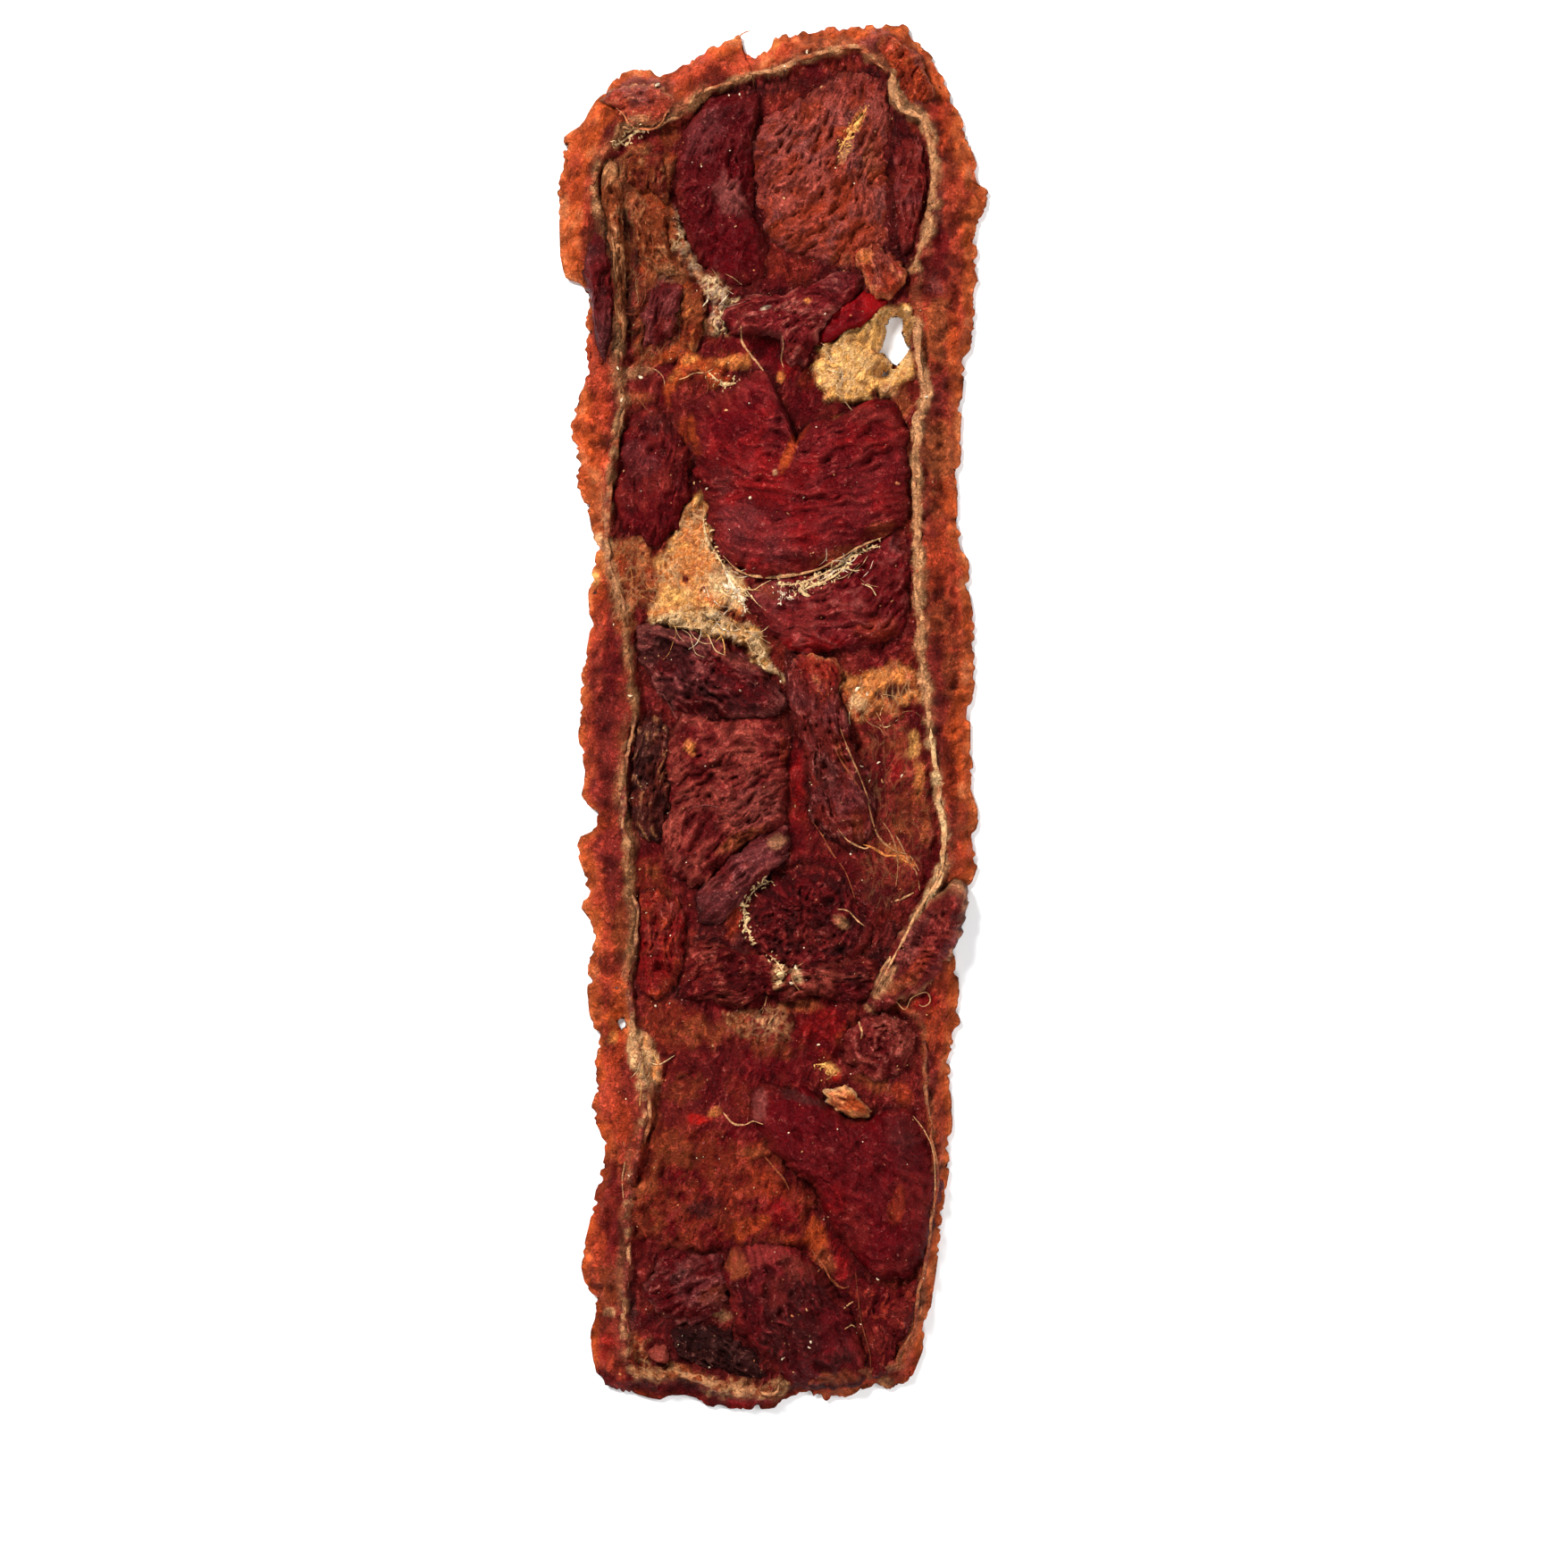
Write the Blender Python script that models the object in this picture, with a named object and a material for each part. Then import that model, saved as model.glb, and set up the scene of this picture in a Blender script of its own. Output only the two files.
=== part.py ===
"""A strip of dried venison for dogs, lying flat with its torn, folded side up.

Named sizes are in millimetres and are turned into metres as the shapes are made. +Y runs along
the strip, +X across it and +Z up. The origin lies on the surface under the strip's middle.
"""
import math

import bmesh
import bpy
import numpy as np
from mathutils import Vector, kdtree, noise

MM = 0.001

# Driving dimensions of the strip
RIM_THICKNESS = 1.0
BORDER_TOP = 2.5
BORDER_SLOPE = 3.6
RECESS_FLOOR = 1.5
RECESS_STEP = 1.3
UNEVENNESS = 0.22
UNEVEN_SPACING = 5.0
RAGGEDNESS = 0.30
RAGGED_SPACING = 1.7
RIDGE_HEIGHT = 2.75
RIDGE_RADIUS = 0.78
CELLS_ACROSS = 21
CELLS_ALONG = 70

# Resolution of what is fused on
FLAP_SIDES = 15
FLAP_RINGS = 6
FLAP_EDGE_POWER = 0.5
RIDGE_BEVEL_RESOLUTION = 1
PINHOLE_SIDES = 10
MENDING_ROUNDS = 6

# The torn outline: (along, across) on the long sides and (across, along) on the ends
LEFT_EDGE = [
    (-67.3, -17.3), (-64.3, -18.0), (-61.2, -18.2), (-59.8, -17.7), (-57.6, -18.3), (-55.1, -19.2),
    (-53.2, -19.0), (-50.8, -18.4), (-46.7, -17.6), (-43.8, -16.8), (-41.3, -17.4), (-39.1, -18.2),
    (-35.9, -17.7), (-32.3, -17.6), (-29.7, -18.4), (-24.1, -18.8), (-22.7, -18.0), (-21.2, -18.0),
    (-19.2, -19.2), (-17.6, -18.7), (-15.7, -18.9), (-12.9, -19.6), (-11.8, -19.0), (-10.2, -17.6),
    (-9.2, -18.1), (-7.9, -19.2), (-5.1, -18.9), (-2.0, -19.5), (4.2, -19.2), (8.0, -18.4),
    (12.2, -18.5), (16.4, -17.7), (20.0, -18.4), (23.3, -19.9), (25.1, -19.6), (28.9, -20.4),
    (32.5, -19.2), (34.1, -18.8), (39.8, -18.9), (41.2, -18.3), (43.0, -19.0), (44.5, -21.0),
    (52.4, -21.6), (57.8, -20.9),
]
RIGHT_EDGE = [
    (-66.2, 13.8), (-63.5, 14.9), (-60.0, 15.6), (-56.0, 16.2), (-50.0, 16.9), (-45.4, 17.6),
    (-40.7, 17.9), (-36.7, 17.6), (-34.0, 17.6), (-31.0, 18.5), (-27.5, 18.6), (-22.7, 17.8),
    (-20.4, 18.4), (-16.8, 19.7), (-15.1, 20.4), (-10.5, 20.5), (-7.3, 19.7), (-6.1, 20.3),
    (-3.1, 19.7), (1.6, 19.9), (6.4, 20.1), (9.5, 20.1), (13.0, 19.5), (15.6, 19.5), (18.2, 18.8),
    (20.9, 18.3), (25.9, 18.8), (34.1, 19.1), (37.2, 20.0), (41.9, 20.0), (43.6, 20.5),
    (48.9, 20.4), (50.4, 21.2), (52.4, 21.5), (53.8, 20.7), (57.6, 19.4), (62.8, 17.4), (68.4, 14.1),
]
BOTTOM_EDGE = [
    (-17.3, -67.3), (-14.0, -67.6), (-11.3, -68.3), (-8.9, -67.8), (-6.9, -68.8), (-2.3, -69.3),
    (0.7, -68.9), (1.9, -67.8), (3.8, -67.7), (5.1, -68.4), (7.9, -67.8), (10.3, -66.8), (13.8, -66.2),
]
TOP_EDGE = [
    (-20.9, 57.8), (-19.3, 58.9), (-17.8, 61.4), (-16.4, 63.3), (-13.2, 64.8), (-10.2, 64.2),
    (-7.5, 66.2), (-4.3, 68.0), (-3.2, 67.6), (-2.6, 66.1), (-1.2, 66.1), (0.0, 67.5), (2.5, 68.4),
    (5.3, 68.9), (11.0, 69.2), (14.1, 68.4),
]

# The tear right through the strip, and the pinhole in its lower left border
TEAR = [
    (12.3, 40.0), (12.7, 38.9), (13.5, 36.4), (12.1, 34.8), (10.8, 36.4), (11.3, 38.2), (11.5, 39.4),
]
PINHOLE = (-15.1, -30.7)
PINHOLE_RADIUS = 0.45

# Pale ridges along the inner side of the border, from one end of each to the other
TOP_RIDGE = [
    (-15.6, 57.0), (-14.4, 58.8), (-11.8, 58.5), (-10.5, 59.4), (-7.2, 61.7), (-4.7, 62.6),
    (-2.3, 63.6), (1.5, 64.4), (3.4, 65.6), (8.2, 66.5), (10.0, 65.2), (11.2, 64.1),
]
RIGHT_RIDGE = [
    (12.0, 62.0), (13.0, 60.2), (14.8, 59.6), (15.5, 57.9), (16.0, 54.3), (15.7, 50.8),
    (15.2, 47.4), (14.1, 44.9), (13.9, 41.2), (14.2, 39.2), (14.7, 34.8), (15.1, 31.6),
    (14.4, 29.0), (14.1, 25.3), (14.3, 21.4), (14.3, 17.0), (14.4, 12.5), (14.7, 8.8),
    (14.8, 5.4), (15.1, 3.2), (15.6, -1.2), (16.2, -6.1), (16.9, -10.6), (17.0, -14.0),
    (16.4, -16.6), (14.3, -19.6), (12.3, -23.5), (10.3, -26.7),
]
LOWER_RIGHT_RIDGE = [
    (14.9, -31.0), (15.2, -37.2), (16.0, -43.0), (16.1, -47.9), (15.2, -54.0), (14.0, -60.0),
    (12.3, -64.3),
]
BOTTOM_RIDGE = [(0.6, -67.0), (-2.9, -67.5), (-7.3, -66.0), (-11.8, -65.7), (-13.7, -65.4)]
LEFT_RIDGE = [
    (-14.4, -63.5), (-14.7, -58.6), (-14.5, -53.2), (-14.5, -48.4), (-13.5, -43.8), (-12.6, -39.9),
    (-12.5, -36.7), (-13.8, -31.9), (-14.3, -27.2), (-14.1, -24.3), (-13.7, -19.6), (-14.2, -17.0),
    (-15.0, -7.9), (-14.7, -3.9), (-13.6, 0.0), (-14.0, 3.2), (-14.6, 8.3), (-16.6, 17.0),
    (-16.5, 21.4), (-15.6, 27.5), (-15.0, 31.2), (-15.4, 34.8), (-15.2, 41.2), (-15.6, 44.7),
    (-16.4, 47.6), (-17.2, 50.3), (-17.8, 52.5), (-17.4, 54.8),
]

# Folded flaps of muscle and fat: top height, half thickness, the heading in degrees of the edge
# that stands up, by how much it does, and the outline
FLAPS = {
    "dark_oval": (3.2, 1.1, 0, 0.3, [
        (-9.6, 54.5), (-7.8, 59.0), (-6.2, 61.2), (-3.6, 61.9), (-1.4, 60.6), (-2.0, 53.5),
        (-1.6, 49.5), (-0.3, 46.0), (-1.6, 43.0), (-4.6, 43.2), (-7.4, 45.8), (-9.2, 49.6)]),
    "upper_muscle": (3.0, 1.0, 120, 0.3, [
        (-2.0, 57.0), (0.5, 59.2), (4.0, 61.5), (6.5, 63.3), (9.5, 63.8), (11.5, 62.0),
        (11.4, 54.0), (12.2, 46.5), (9.5, 44.8), (6.0, 44.7), (3.0, 46.2), (-1.5, 50.0)]),
    "right_plum": (2.6, 0.9, 0, 0.2, [
        (12.2, 58.5), (14.3, 58.7), (15.2, 55.0), (14.8, 51.0), (13.2, 45.6), (12.2, 49.0),
        (11.8, 54.0)]),
    "left_lens": (3.1, 1.0, 200, 0.3, [
        (-18.6, 48.5), (-17.0, 49.3), (-16.0, 45.0), (-15.7, 40.0), (-16.2, 36.0), (-17.6, 37.5),
        (-18.4, 44.0)]),
    "left_fold": (3.0, 1.0, 180, 0.3, [
        (-14.9, 56.0), (-12.0, 56.5), (-10.2, 54.0), (-10.2, 50.0), (-11.2, 47.0), (-14.0, 47.0),
        (-15.8, 50.5)]),
    "lower_left_fold": (2.9, 1.0, 200, 0.4, [
        (-14.5, 46.0), (-10.5, 46.0), (-9.0, 42.0), (-8.2, 38.0), (-10.0, 34.5), (-13.6, 34.0),
        (-14.6, 40.0)]),
    "curled_flap": (3.7, 0.9, 250, 0.5, [
        (-4.9, 39.4), (-3.9, 41.2), (-1.5, 42.1), (1.5, 42.2), (4.5, 43.4), (7.0, 44.0),
        (8.8, 42.6), (7.0, 40.2), (4.2, 37.4), (3.2, 35.4), (1.4, 35.4), (0.9, 37.2), (-3.8, 38.2)]),
    "glassy_lens": (2.7, 0.8, 30, 0.2, [
        (4.2, 36.8), (6.5, 37.8), (9.5, 38.9), (11.6, 40.9), (9.8, 41.9), (6.8, 40.6)]),
    "ragged_flap": (3.3, 0.8, 240, 0.4, [
        (10.2, 41.3), (9.2, 43.6), (8.2, 45.2), (10.0, 46.4), (12.0, 46.0), (13.3, 44.2),
        (12.4, 41.9)]),
    "yellow_fat": (2.5, 0.9, 200, 0.3, [
        (4.2, 36.2), (7.0, 37.4), (9.6, 38.6), (11.0, 40.6), (13.6, 40.6), (14.2, 36.5),
        (13.2, 32.6), (9.5, 31.6), (6.5, 31.4), (4.2, 33.8)]),
    "plum_oval": (3.2, 1.1, 10, 0.2, [
        (-13.5, 30.5), (-10.5, 30.0), (-8.8, 27.5), (-8.1, 24.0), (-8.5, 20.5), (-9.8, 18.2),
        (-12.0, 17.2), (-14.5, 17.8), (-15.9, 20.5), (-15.9, 24.0), (-15.1, 28.0)]),
    "great_bean": (4.1, 1.5, 270, 0.5, [
        (-7.9, 27.0), (-7.0, 31.0), (-3.5, 34.0), (-0.8, 34.2), (1.2, 31.0), (4.6, 29.8),
        (7.0, 29.6), (9.0, 31.3), (11.2, 31.2), (12.8, 28.5), (13.4, 25.0), (13.1, 21.5),
        (11.8, 18.2), (8.0, 16.0), (4.0, 14.8), (0.0, 14.2), (-3.0, 14.9), (-5.2, 17.0),
        (-6.6, 20.0)]),
    "fat_triangle": (2.4, 0.9, 90, 0.2, [
        (-6.8, 22.0), (-9.6, 19.2), (-12.0, 15.5), (-13.2, 12.5), (-11.8, 10.4), (-7.0, 10.4),
        (-3.0, 11.2), (-2.6, 13.0), (-4.8, 15.0), (-5.8, 18.0)]),
    "curved_muscle": (3.2, 1.1, 270, 0.4, [
        (-2.4, 12.4), (0.5, 13.8), (4.0, 14.3), (7.5, 16.0), (11.0, 17.6), (13.3, 17.8),
        (13.4, 12.0), (13.2, 7.5), (9.0, 6.6), (5.0, 6.2), (1.8, 6.5), (-1.0, 9.0)]),
    "lace": (2.5, 0.8, 70, 0.2, [
        (-12.4, 9.7), (-9.0, 10.4), (-5.5, 10.9), (-2.6, 9.2), (0.4, 6.2), (0.7, 3.8),
        (-3.5, 6.4), (-6.5, 7.8), (-9.5, 8.5)]),
    "near_black_flap": (3.6, 1.2, 65, 0.5, [
        (-13.0, 8.8), (-11.0, 8.6), (-8.0, 8.1), (-5.0, 7.0), (-2.2, 5.0), (0.6, 3.0),
        (0.8, 0.6), (-3.0, 0.0), (-6.5, -0.6), (-9.5, 0.8), (-11.6, 3.0), (-13.1, 5.5)]),
    "pebbly_muscle": (3.3, 1.2, 250, 0.3, [
        (-9.5, -0.6), (-6.0, 0.2), (-2.0, 0.2), (0.9, 0.0), (1.3, -3.0), (1.3, -7.0),
        (0.6, -10.0), (-2.5, -12.6), (-6.0, -14.4), (-9.2, -14.0), (-10.5, -10.0), (-10.0, -5.0)]),
    "mottled_side": (2.7, 0.9, 0, 0.2, [
        (-14.0, 0.5), (-11.0, 1.2), (-10.2, -4.0), (-10.6, -10.0), (-12.0, -11.5), (-14.4, -9.0)]),
    "long_flap": (3.8, 1.2, 170, 0.6, [
        (1.4, 5.6), (3.0, 5.2), (5.5, 3.0), (6.3, 0.5), (7.2, -2.5), (8.2, -6.0), (9.0, -10.0),
        (9.2, -13.3), (7.5, -13.0), (5.2, -11.3), (3.7, -9.0), (3.2, -5.0), (2.4, -2.0),
        (1.5, 2.0)]),
    "membrane": (2.8, 0.8, 90, 0.2, [
        (6.6, 4.2), (9.0, 4.6), (12.0, 4.8), (13.9, 3.6), (13.8, 1.2), (12.0, 0.0), (8.8, -0.2),
        (7.4, 1.0)]),
    "golden_net": (2.7, 0.9, 0, 0.2, [
        (9.5, -0.5), (13.0, 0.0), (14.8, -3.0), (15.6, -8.0), (15.9, -12.0), (15.0, -16.0),
        (13.0, -18.0), (10.5, -15.0), (9.3, -11.0), (8.2, -6.0)]),
    "twisted_wing": (3.9, 1.1, 150, 0.7, [
        (18.3, -16.9), (19.3, -17.4), (18.6, -19.5), (17.9, -21.5), (17.5, -23.3), (16.2, -25.2),
        (14.5, -26.5), (11.5, -28.2), (10.3, -27.4), (11.3, -25.0), (12.8, -22.5), (14.2, -20.0),
        (16.0, -18.0)]),
    "side_muscle": (2.9, 1.0, 0, 0.2, [
        (-13.2, -17.0), (-11.0, -16.2), (-9.0, -18.0), (-8.6, -22.0), (-9.4, -26.5),
        (-11.0, -28.0), (-13.4, -27.0), (-13.6, -22.0)]),
    "arc_band": (3.4, 1.0, 110, 0.4, [
        (1.2, -11.6), (1.1, -12.8), (-1.0, -14.6), (-4.0, -16.0), (-6.6, -17.2), (-6.8, -15.5),
        (-5.0, -14.0), (-2.4, -12.8)]),
    "ringed_muscle": (3.3, 1.1, 270, 0.4, [
        (-1.8, -17.5), (0.2, -16.2), (4.0, -15.5), (7.0, -17.0), (8.5, -20.0), (8.6, -23.0),
        (7.0, -25.0), (2.5, -25.2), (-0.5, -24.0), (-1.7, -21.5)]),
    "dark_slab": (3.0, 1.0, 270, 0.3, [
        (-8.2, -23.5), (-2.0, -24.6), (4.0, -25.0), (10.0, -24.0), (10.0, -26.8), (6.0, -28.0),
        (0.0, -28.0), (-5.0, -28.6), (-8.8, -27.4)]),
    "orange_patch": (2.4, 0.8, 90, 0.2, [
        (1.8, -28.6), (6.0, -28.2), (8.4, -29.5), (7.8, -32.0), (6.4, -34.6), (4.2, -34.4),
        (2.6, -32.0)]),
    "plum_knot": (3.0, 1.0, 180, 0.3, [
        (7.8, -30.2), (10.0, -29.6), (13.4, -30.0), (14.0, -33.0), (13.2, -35.6), (10.0, -36.0),
        (7.4, -34.4)]),
    "tan_lens": (3.3, 0.9, 120, 0.3, [
        (5.0, -37.2), (6.6, -36.9), (8.2, -38.0), (9.7, -39.3), (8.6, -40.3), (6.8, -39.8)]),
    "great_flap": (4.4, 1.5, 200, 0.8, [
        (-2.2, -38.5), (-1.0, -37.1), (1.5, -37.4), (4.5, -38.0), (6.5, -39.8), (9.0, -40.3),
        (11.5, -39.0), (13.2, -38.8), (15.0, -41.0), (15.7, -43.5), (15.8, -47.0), (15.4, -51.0),
        (13.5, -52.5), (9.0, -52.5), (6.0, -50.5), (4.8, -48.2), (2.8, -45.5), (0.4, -43.6)]),
    "mottled_field": (2.7, 1.0, 90, 0.2, [
        (-12.6, -42.0), (-9.0, -41.0), (-4.0, -42.0), (0.0, -43.4), (2.5, -46.0), (4.3, -48.5),
        (3.0, -51.3), (-1.0, -52.2), (-6.0, -52.8), (-11.0, -52.0), (-13.6, -48.0)]),
    "bottom_flap": (3.7, 1.3, 80, 0.6, [
        (-4.6, -53.0), (-2.0, -52.5), (1.5, -52.5), (3.5, -54.0), (5.5, -56.0), (7.0, -58.0),
        (8.3, -61.0), (8.8, -64.0), (7.8, -66.2), (4.0, -66.6), (1.2, -66.2), (-0.5, -64.5),
        (-3.0, -61.5), (-4.0, -58.0)]),
    "grey_lobe": (3.0, 1.0, 90, 0.3, [
        (-12.0, -54.0), (-9.0, -53.0), (-5.2, -53.6), (-4.2, -56.0), (-4.6, -59.0),
        (-7.0, -60.5), (-11.0, -60.2), (-12.8, -57.0)]),
    "nodule": (3.2, 0.9, 0, 0.0, [
        (-12.4, -63.5), (-11.4, -62.5), (-10.5, -63.4), (-11.4, -64.5)]),
    "corner_plum": (2.7, 0.9, 0, 0.2, [
        (9.7, -53.4), (13.3, -53.2), (14.2, -56.0), (13.2, -60.0), (11.6, -64.5), (9.9, -64.6),
        (9.3, -61.0)]),
}

MEAT_COLOUR = (0.17, 0.032, 0.018, 1.0)
MEAT_ROUGHNESS = 0.5


def clear_scene():
    """Removes whatever the file starts with."""
    for obj in list(bpy.data.objects):
        bpy.data.objects.remove(obj, do_unlink=True)


def new_collection(name):
    """Adds a collection to the scene."""
    collection = bpy.data.collections.new(name)
    bpy.context.scene.collection.children.link(collection)
    return collection


def dried_meat():
    """The material of the whole strip."""
    material = bpy.data.materials.new("dried_meat")
    material.use_nodes = True
    shader = material.node_tree.nodes["Principled BSDF"]
    shader.inputs["Base Color"].default_value = MEAT_COLOUR
    shader.inputs["Roughness"].default_value = MEAT_ROUGHNESS
    shader.inputs["Metallic"].default_value = 0.0
    return material


def object_from(bm, name, collection):
    """Turns a mesh under construction, in millimetres, into an object in metres."""
    bmesh.ops.scale(bm, vec=Vector((MM, MM, MM)), verts=bm.verts)
    bmesh.ops.recalc_face_normals(bm, faces=bm.faces)
    mesh = bpy.data.meshes.new(name)
    bm.to_mesh(mesh)
    bm.free()
    obj = bpy.data.objects.new(name, mesh)
    collection.objects.link(obj)
    return obj


def as_helper(obj):
    """Marks a cutter or a piece that is still to be fused."""
    obj.hide_render = True
    obj.display_type = "WIRE"


def ease(value):
    """Rises smoothly from 0 to 1 as the value does."""
    value = min(max(value, 0.0), 1.0)
    return value * value * (3.0 - 2.0 * value)


def read_edge(points, place):
    """The offset of an edge at a place along it."""
    places, offsets = zip(*points)
    return float(np.interp(place, places, offsets))


def between(start, end, share):
    return start + (end - start) * share


def sheet_point(u, v):
    """Where a point of the unit square lies on the strip, stretched between its four edges."""
    y_left = between(LEFT_EDGE[0][0], LEFT_EDGE[-1][0], v)
    y_right = between(RIGHT_EDGE[0][0], RIGHT_EDGE[-1][0], v)
    x_bottom = between(BOTTOM_EDGE[0][0], BOTTOM_EDGE[-1][0], u)
    x_top = between(TOP_EDGE[0][0], TOP_EDGE[-1][0], u)
    left = Vector((read_edge(LEFT_EDGE, y_left), y_left))
    right = Vector((read_edge(RIGHT_EDGE, y_right), y_right))
    bottom = Vector((x_bottom, read_edge(BOTTOM_EDGE, x_bottom)))
    top = Vector((x_top, read_edge(TOP_EDGE, x_top)))
    lower = between(Vector(BOTTOM_EDGE[0]), Vector(BOTTOM_EDGE[-1]), u)
    upper = between(Vector(TOP_EDGE[0]), Vector(TOP_EDGE[-1]), u)
    return between(left, right, u) + between(bottom, top, v) - between(lower, upper, v)


def depth_inside(point, loop):
    """Distance from a point to a closed loop, positive inside it."""
    nearest = math.inf
    inside = False
    for start, end in zip(loop, loop[1:] + loop[:1]):
        run = end - start
        share = (point - start).dot(run) / run.length_squared
        share = min(max(share, 0.0), 1.0)
        nearest = min(nearest, (point - start - run * share).length)
        if (start.y > point.y) != (end.y > point.y):
            if point.x < start.x + run.x * (point.y - start.y) / run.y:
                inside = not inside
    return nearest if inside else -nearest


def ridge_loop():
    """The closed line round the recess, along all the ridges."""
    route = TOP_RIDGE + RIGHT_RIDGE + LOWER_RIGHT_RIDGE + BOTTOM_RIDGE + LEFT_RIDGE
    return [Vector(point) for point in route]


def uneven(x, y, spacing):
    """A smooth, repeatable unevenness between about -1 and 1."""
    return 2.0 * noise.noise(Vector((x / spacing, y / spacing, 0.37)))


def make_sheet(collection):
    """The strip without its folds: a border with a thin rim round a shallow recess."""
    bm = bmesh.new()
    bmesh.ops.create_grid(bm, x_segments=CELLS_ACROSS, y_segments=CELLS_ALONG, size=0.5)
    for vert in bm.verts:
        flat = sheet_point(vert.co.x + 0.5, vert.co.y + 0.5)
        if vert.is_boundary:
            away = flat.normalized() * RAGGEDNESS * uneven(flat.x, flat.y, RAGGED_SPACING)
            flat += away
        vert.co = flat.to_3d()
    rim = [vert.co.copy() for vert in bm.verts if vert.is_boundary]
    tree = kdtree.KDTree(len(rim))
    for index, place in enumerate(rim):
        tree.insert(place, index)
    tree.balance()
    loop = ridge_loop()
    heights = []
    for vert in bm.verts:
        from_rim = tree.find(vert.co)[2]
        border = between(RIM_THICKNESS, BORDER_TOP, ease(from_rim / BORDER_SLOPE))
        recess = ease(0.5 + depth_inside(vert.co.to_2d(), loop) / RECESS_STEP)
        height = between(border, RECESS_FLOOR, recess)
        height += UNEVENNESS * uneven(vert.co.x, vert.co.y, UNEVEN_SPACING) * ease(from_rim)
        heights.append(height)
    underside = bmesh.ops.extrude_face_region(bm, geom=bm.faces[:])["geom"]
    bm.verts.ensure_lookup_table()
    for vert, height in zip(bm.verts[:len(heights)], heights):
        vert.co.z = height
    underside_faces = [item for item in underside if isinstance(item, bmesh.types.BMFace)]
    bmesh.ops.dissolve_faces(bm, faces=underside_faces)
    return object_from(bm, "venison_jerky", collection)


def outline_reader(outline):
    """The middle of an outline, and a function from a heading to the outline's distance."""
    points = [Vector(point) for point in outline]
    middle = sum(points, Vector((0.0, 0.0))) / len(points)
    spokes = sorted((math.atan2(p.y - middle.y, p.x - middle.x), (p - middle).length) for p in points)
    headings, distances = zip(*spokes)

    def distance(heading):
        return float(np.interp(heading, headings, distances, period=2.0 * math.pi))

    return middle, distance


def make_flap(name, flap, collection):
    """A flap: a ball squashed to the flap's outline and thickness, with one edge standing up."""
    top, half_thickness, lift_heading, lift, outline = flap
    middle, distance = outline_reader(outline)
    reach = max(distance(math.radians(step)) for step in range(0, 360, 10))
    towards = Vector((math.cos(math.radians(lift_heading)), math.sin(math.radians(lift_heading))))
    bm = bmesh.new()
    bmesh.ops.create_uvsphere(bm, u_segments=FLAP_SIDES, v_segments=FLAP_RINGS, radius=1.0)
    for vert in bm.verts:
        level = vert.co.z
        share = math.hypot(vert.co.x, vert.co.y) ** FLAP_EDGE_POWER
        heading = math.atan2(vert.co.y, vert.co.x)
        across = Vector((math.cos(heading), math.sin(heading))) * distance(heading) * share
        height = top - half_thickness + half_thickness * level
        height += lift * across.dot(towards) / reach
        vert.co = Vector((middle.x + across.x, middle.y + across.y, height))
    piece = object_from(bm, name, collection)
    as_helper(piece)
    return piece


def make_ridge(name, route, collection):
    """A pale ridge: a thin tube along its route, thinner at both ends and partly sunk."""
    curve = bpy.data.curves.new(name, "CURVE")
    curve.dimensions = "3D"
    curve.bevel_depth = RIDGE_RADIUS * MM
    curve.bevel_resolution = RIDGE_BEVEL_RESOLUTION
    curve.use_fill_caps = True
    spline = curve.splines.new("POLY")
    spline.points.add(len(route) - 1)
    for index, (point, (x, y)) in enumerate(zip(spline.points, route)):
        from_end = min(index, len(route) - 1 - index)
        point.radius = 0.55 + 0.45 * ease(from_end / 2.0) + 0.12 * uneven(x, y, 3.0)
        height = RIDGE_HEIGHT - RIDGE_RADIUS + 0.25 * uneven(x, y, 4.0)
        point.co = (x * MM, y * MM, height * MM, 1.0)
    tube = bpy.data.objects.new(name, curve)
    collection.objects.link(tube)
    depsgraph = bpy.context.evaluated_depsgraph_get()
    mesh = bpy.data.meshes.new_from_object(tube.evaluated_get(depsgraph))
    bm = bmesh.new()
    bm.from_mesh(mesh)
    bmesh.ops.remove_doubles(bm, verts=bm.verts, dist=0.00001)
    bmesh.ops.recalc_face_normals(bm, faces=bm.faces)
    bm.to_mesh(mesh)
    bm.free()
    piece = bpy.data.objects.new(name, mesh)
    piece.matrix_world = tube.matrix_world
    collection.objects.link(piece)
    bpy.data.objects.remove(tube, do_unlink=True)
    as_helper(piece)
    return piece


def make_tear(collection):
    """The cutter of the tear: a drum reshaped to the tear's outline."""
    middle, distance = outline_reader(TEAR)
    bm = bmesh.new()
    bmesh.ops.create_cone(
        bm, cap_ends=True, segments=FLAP_SIDES, radius1=1.0, radius2=1.0, depth=20.0)
    for vert in bm.verts:
        heading = math.atan2(vert.co.y, vert.co.x)
        vert.co.x = middle.x + math.cos(heading) * distance(heading)
        vert.co.y = middle.y + math.sin(heading) * distance(heading)
    cutter = object_from(bm, "tear_cutter", collection)
    as_helper(cutter)
    return cutter


def make_pinhole(collection):
    """The cutter of the pinhole."""
    bm = bmesh.new()
    bmesh.ops.create_cone(
        bm, cap_ends=True, segments=PINHOLE_SIDES, radius1=PINHOLE_RADIUS,
        radius2=PINHOLE_RADIUS, depth=20.0)
    bmesh.ops.translate(bm, vec=Vector((PINHOLE[0], PINHOLE[1], 0.0)), verts=bm.verts)
    cutter = object_from(bm, "pinhole_cutter", collection)
    as_helper(cutter)
    return cutter


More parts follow.
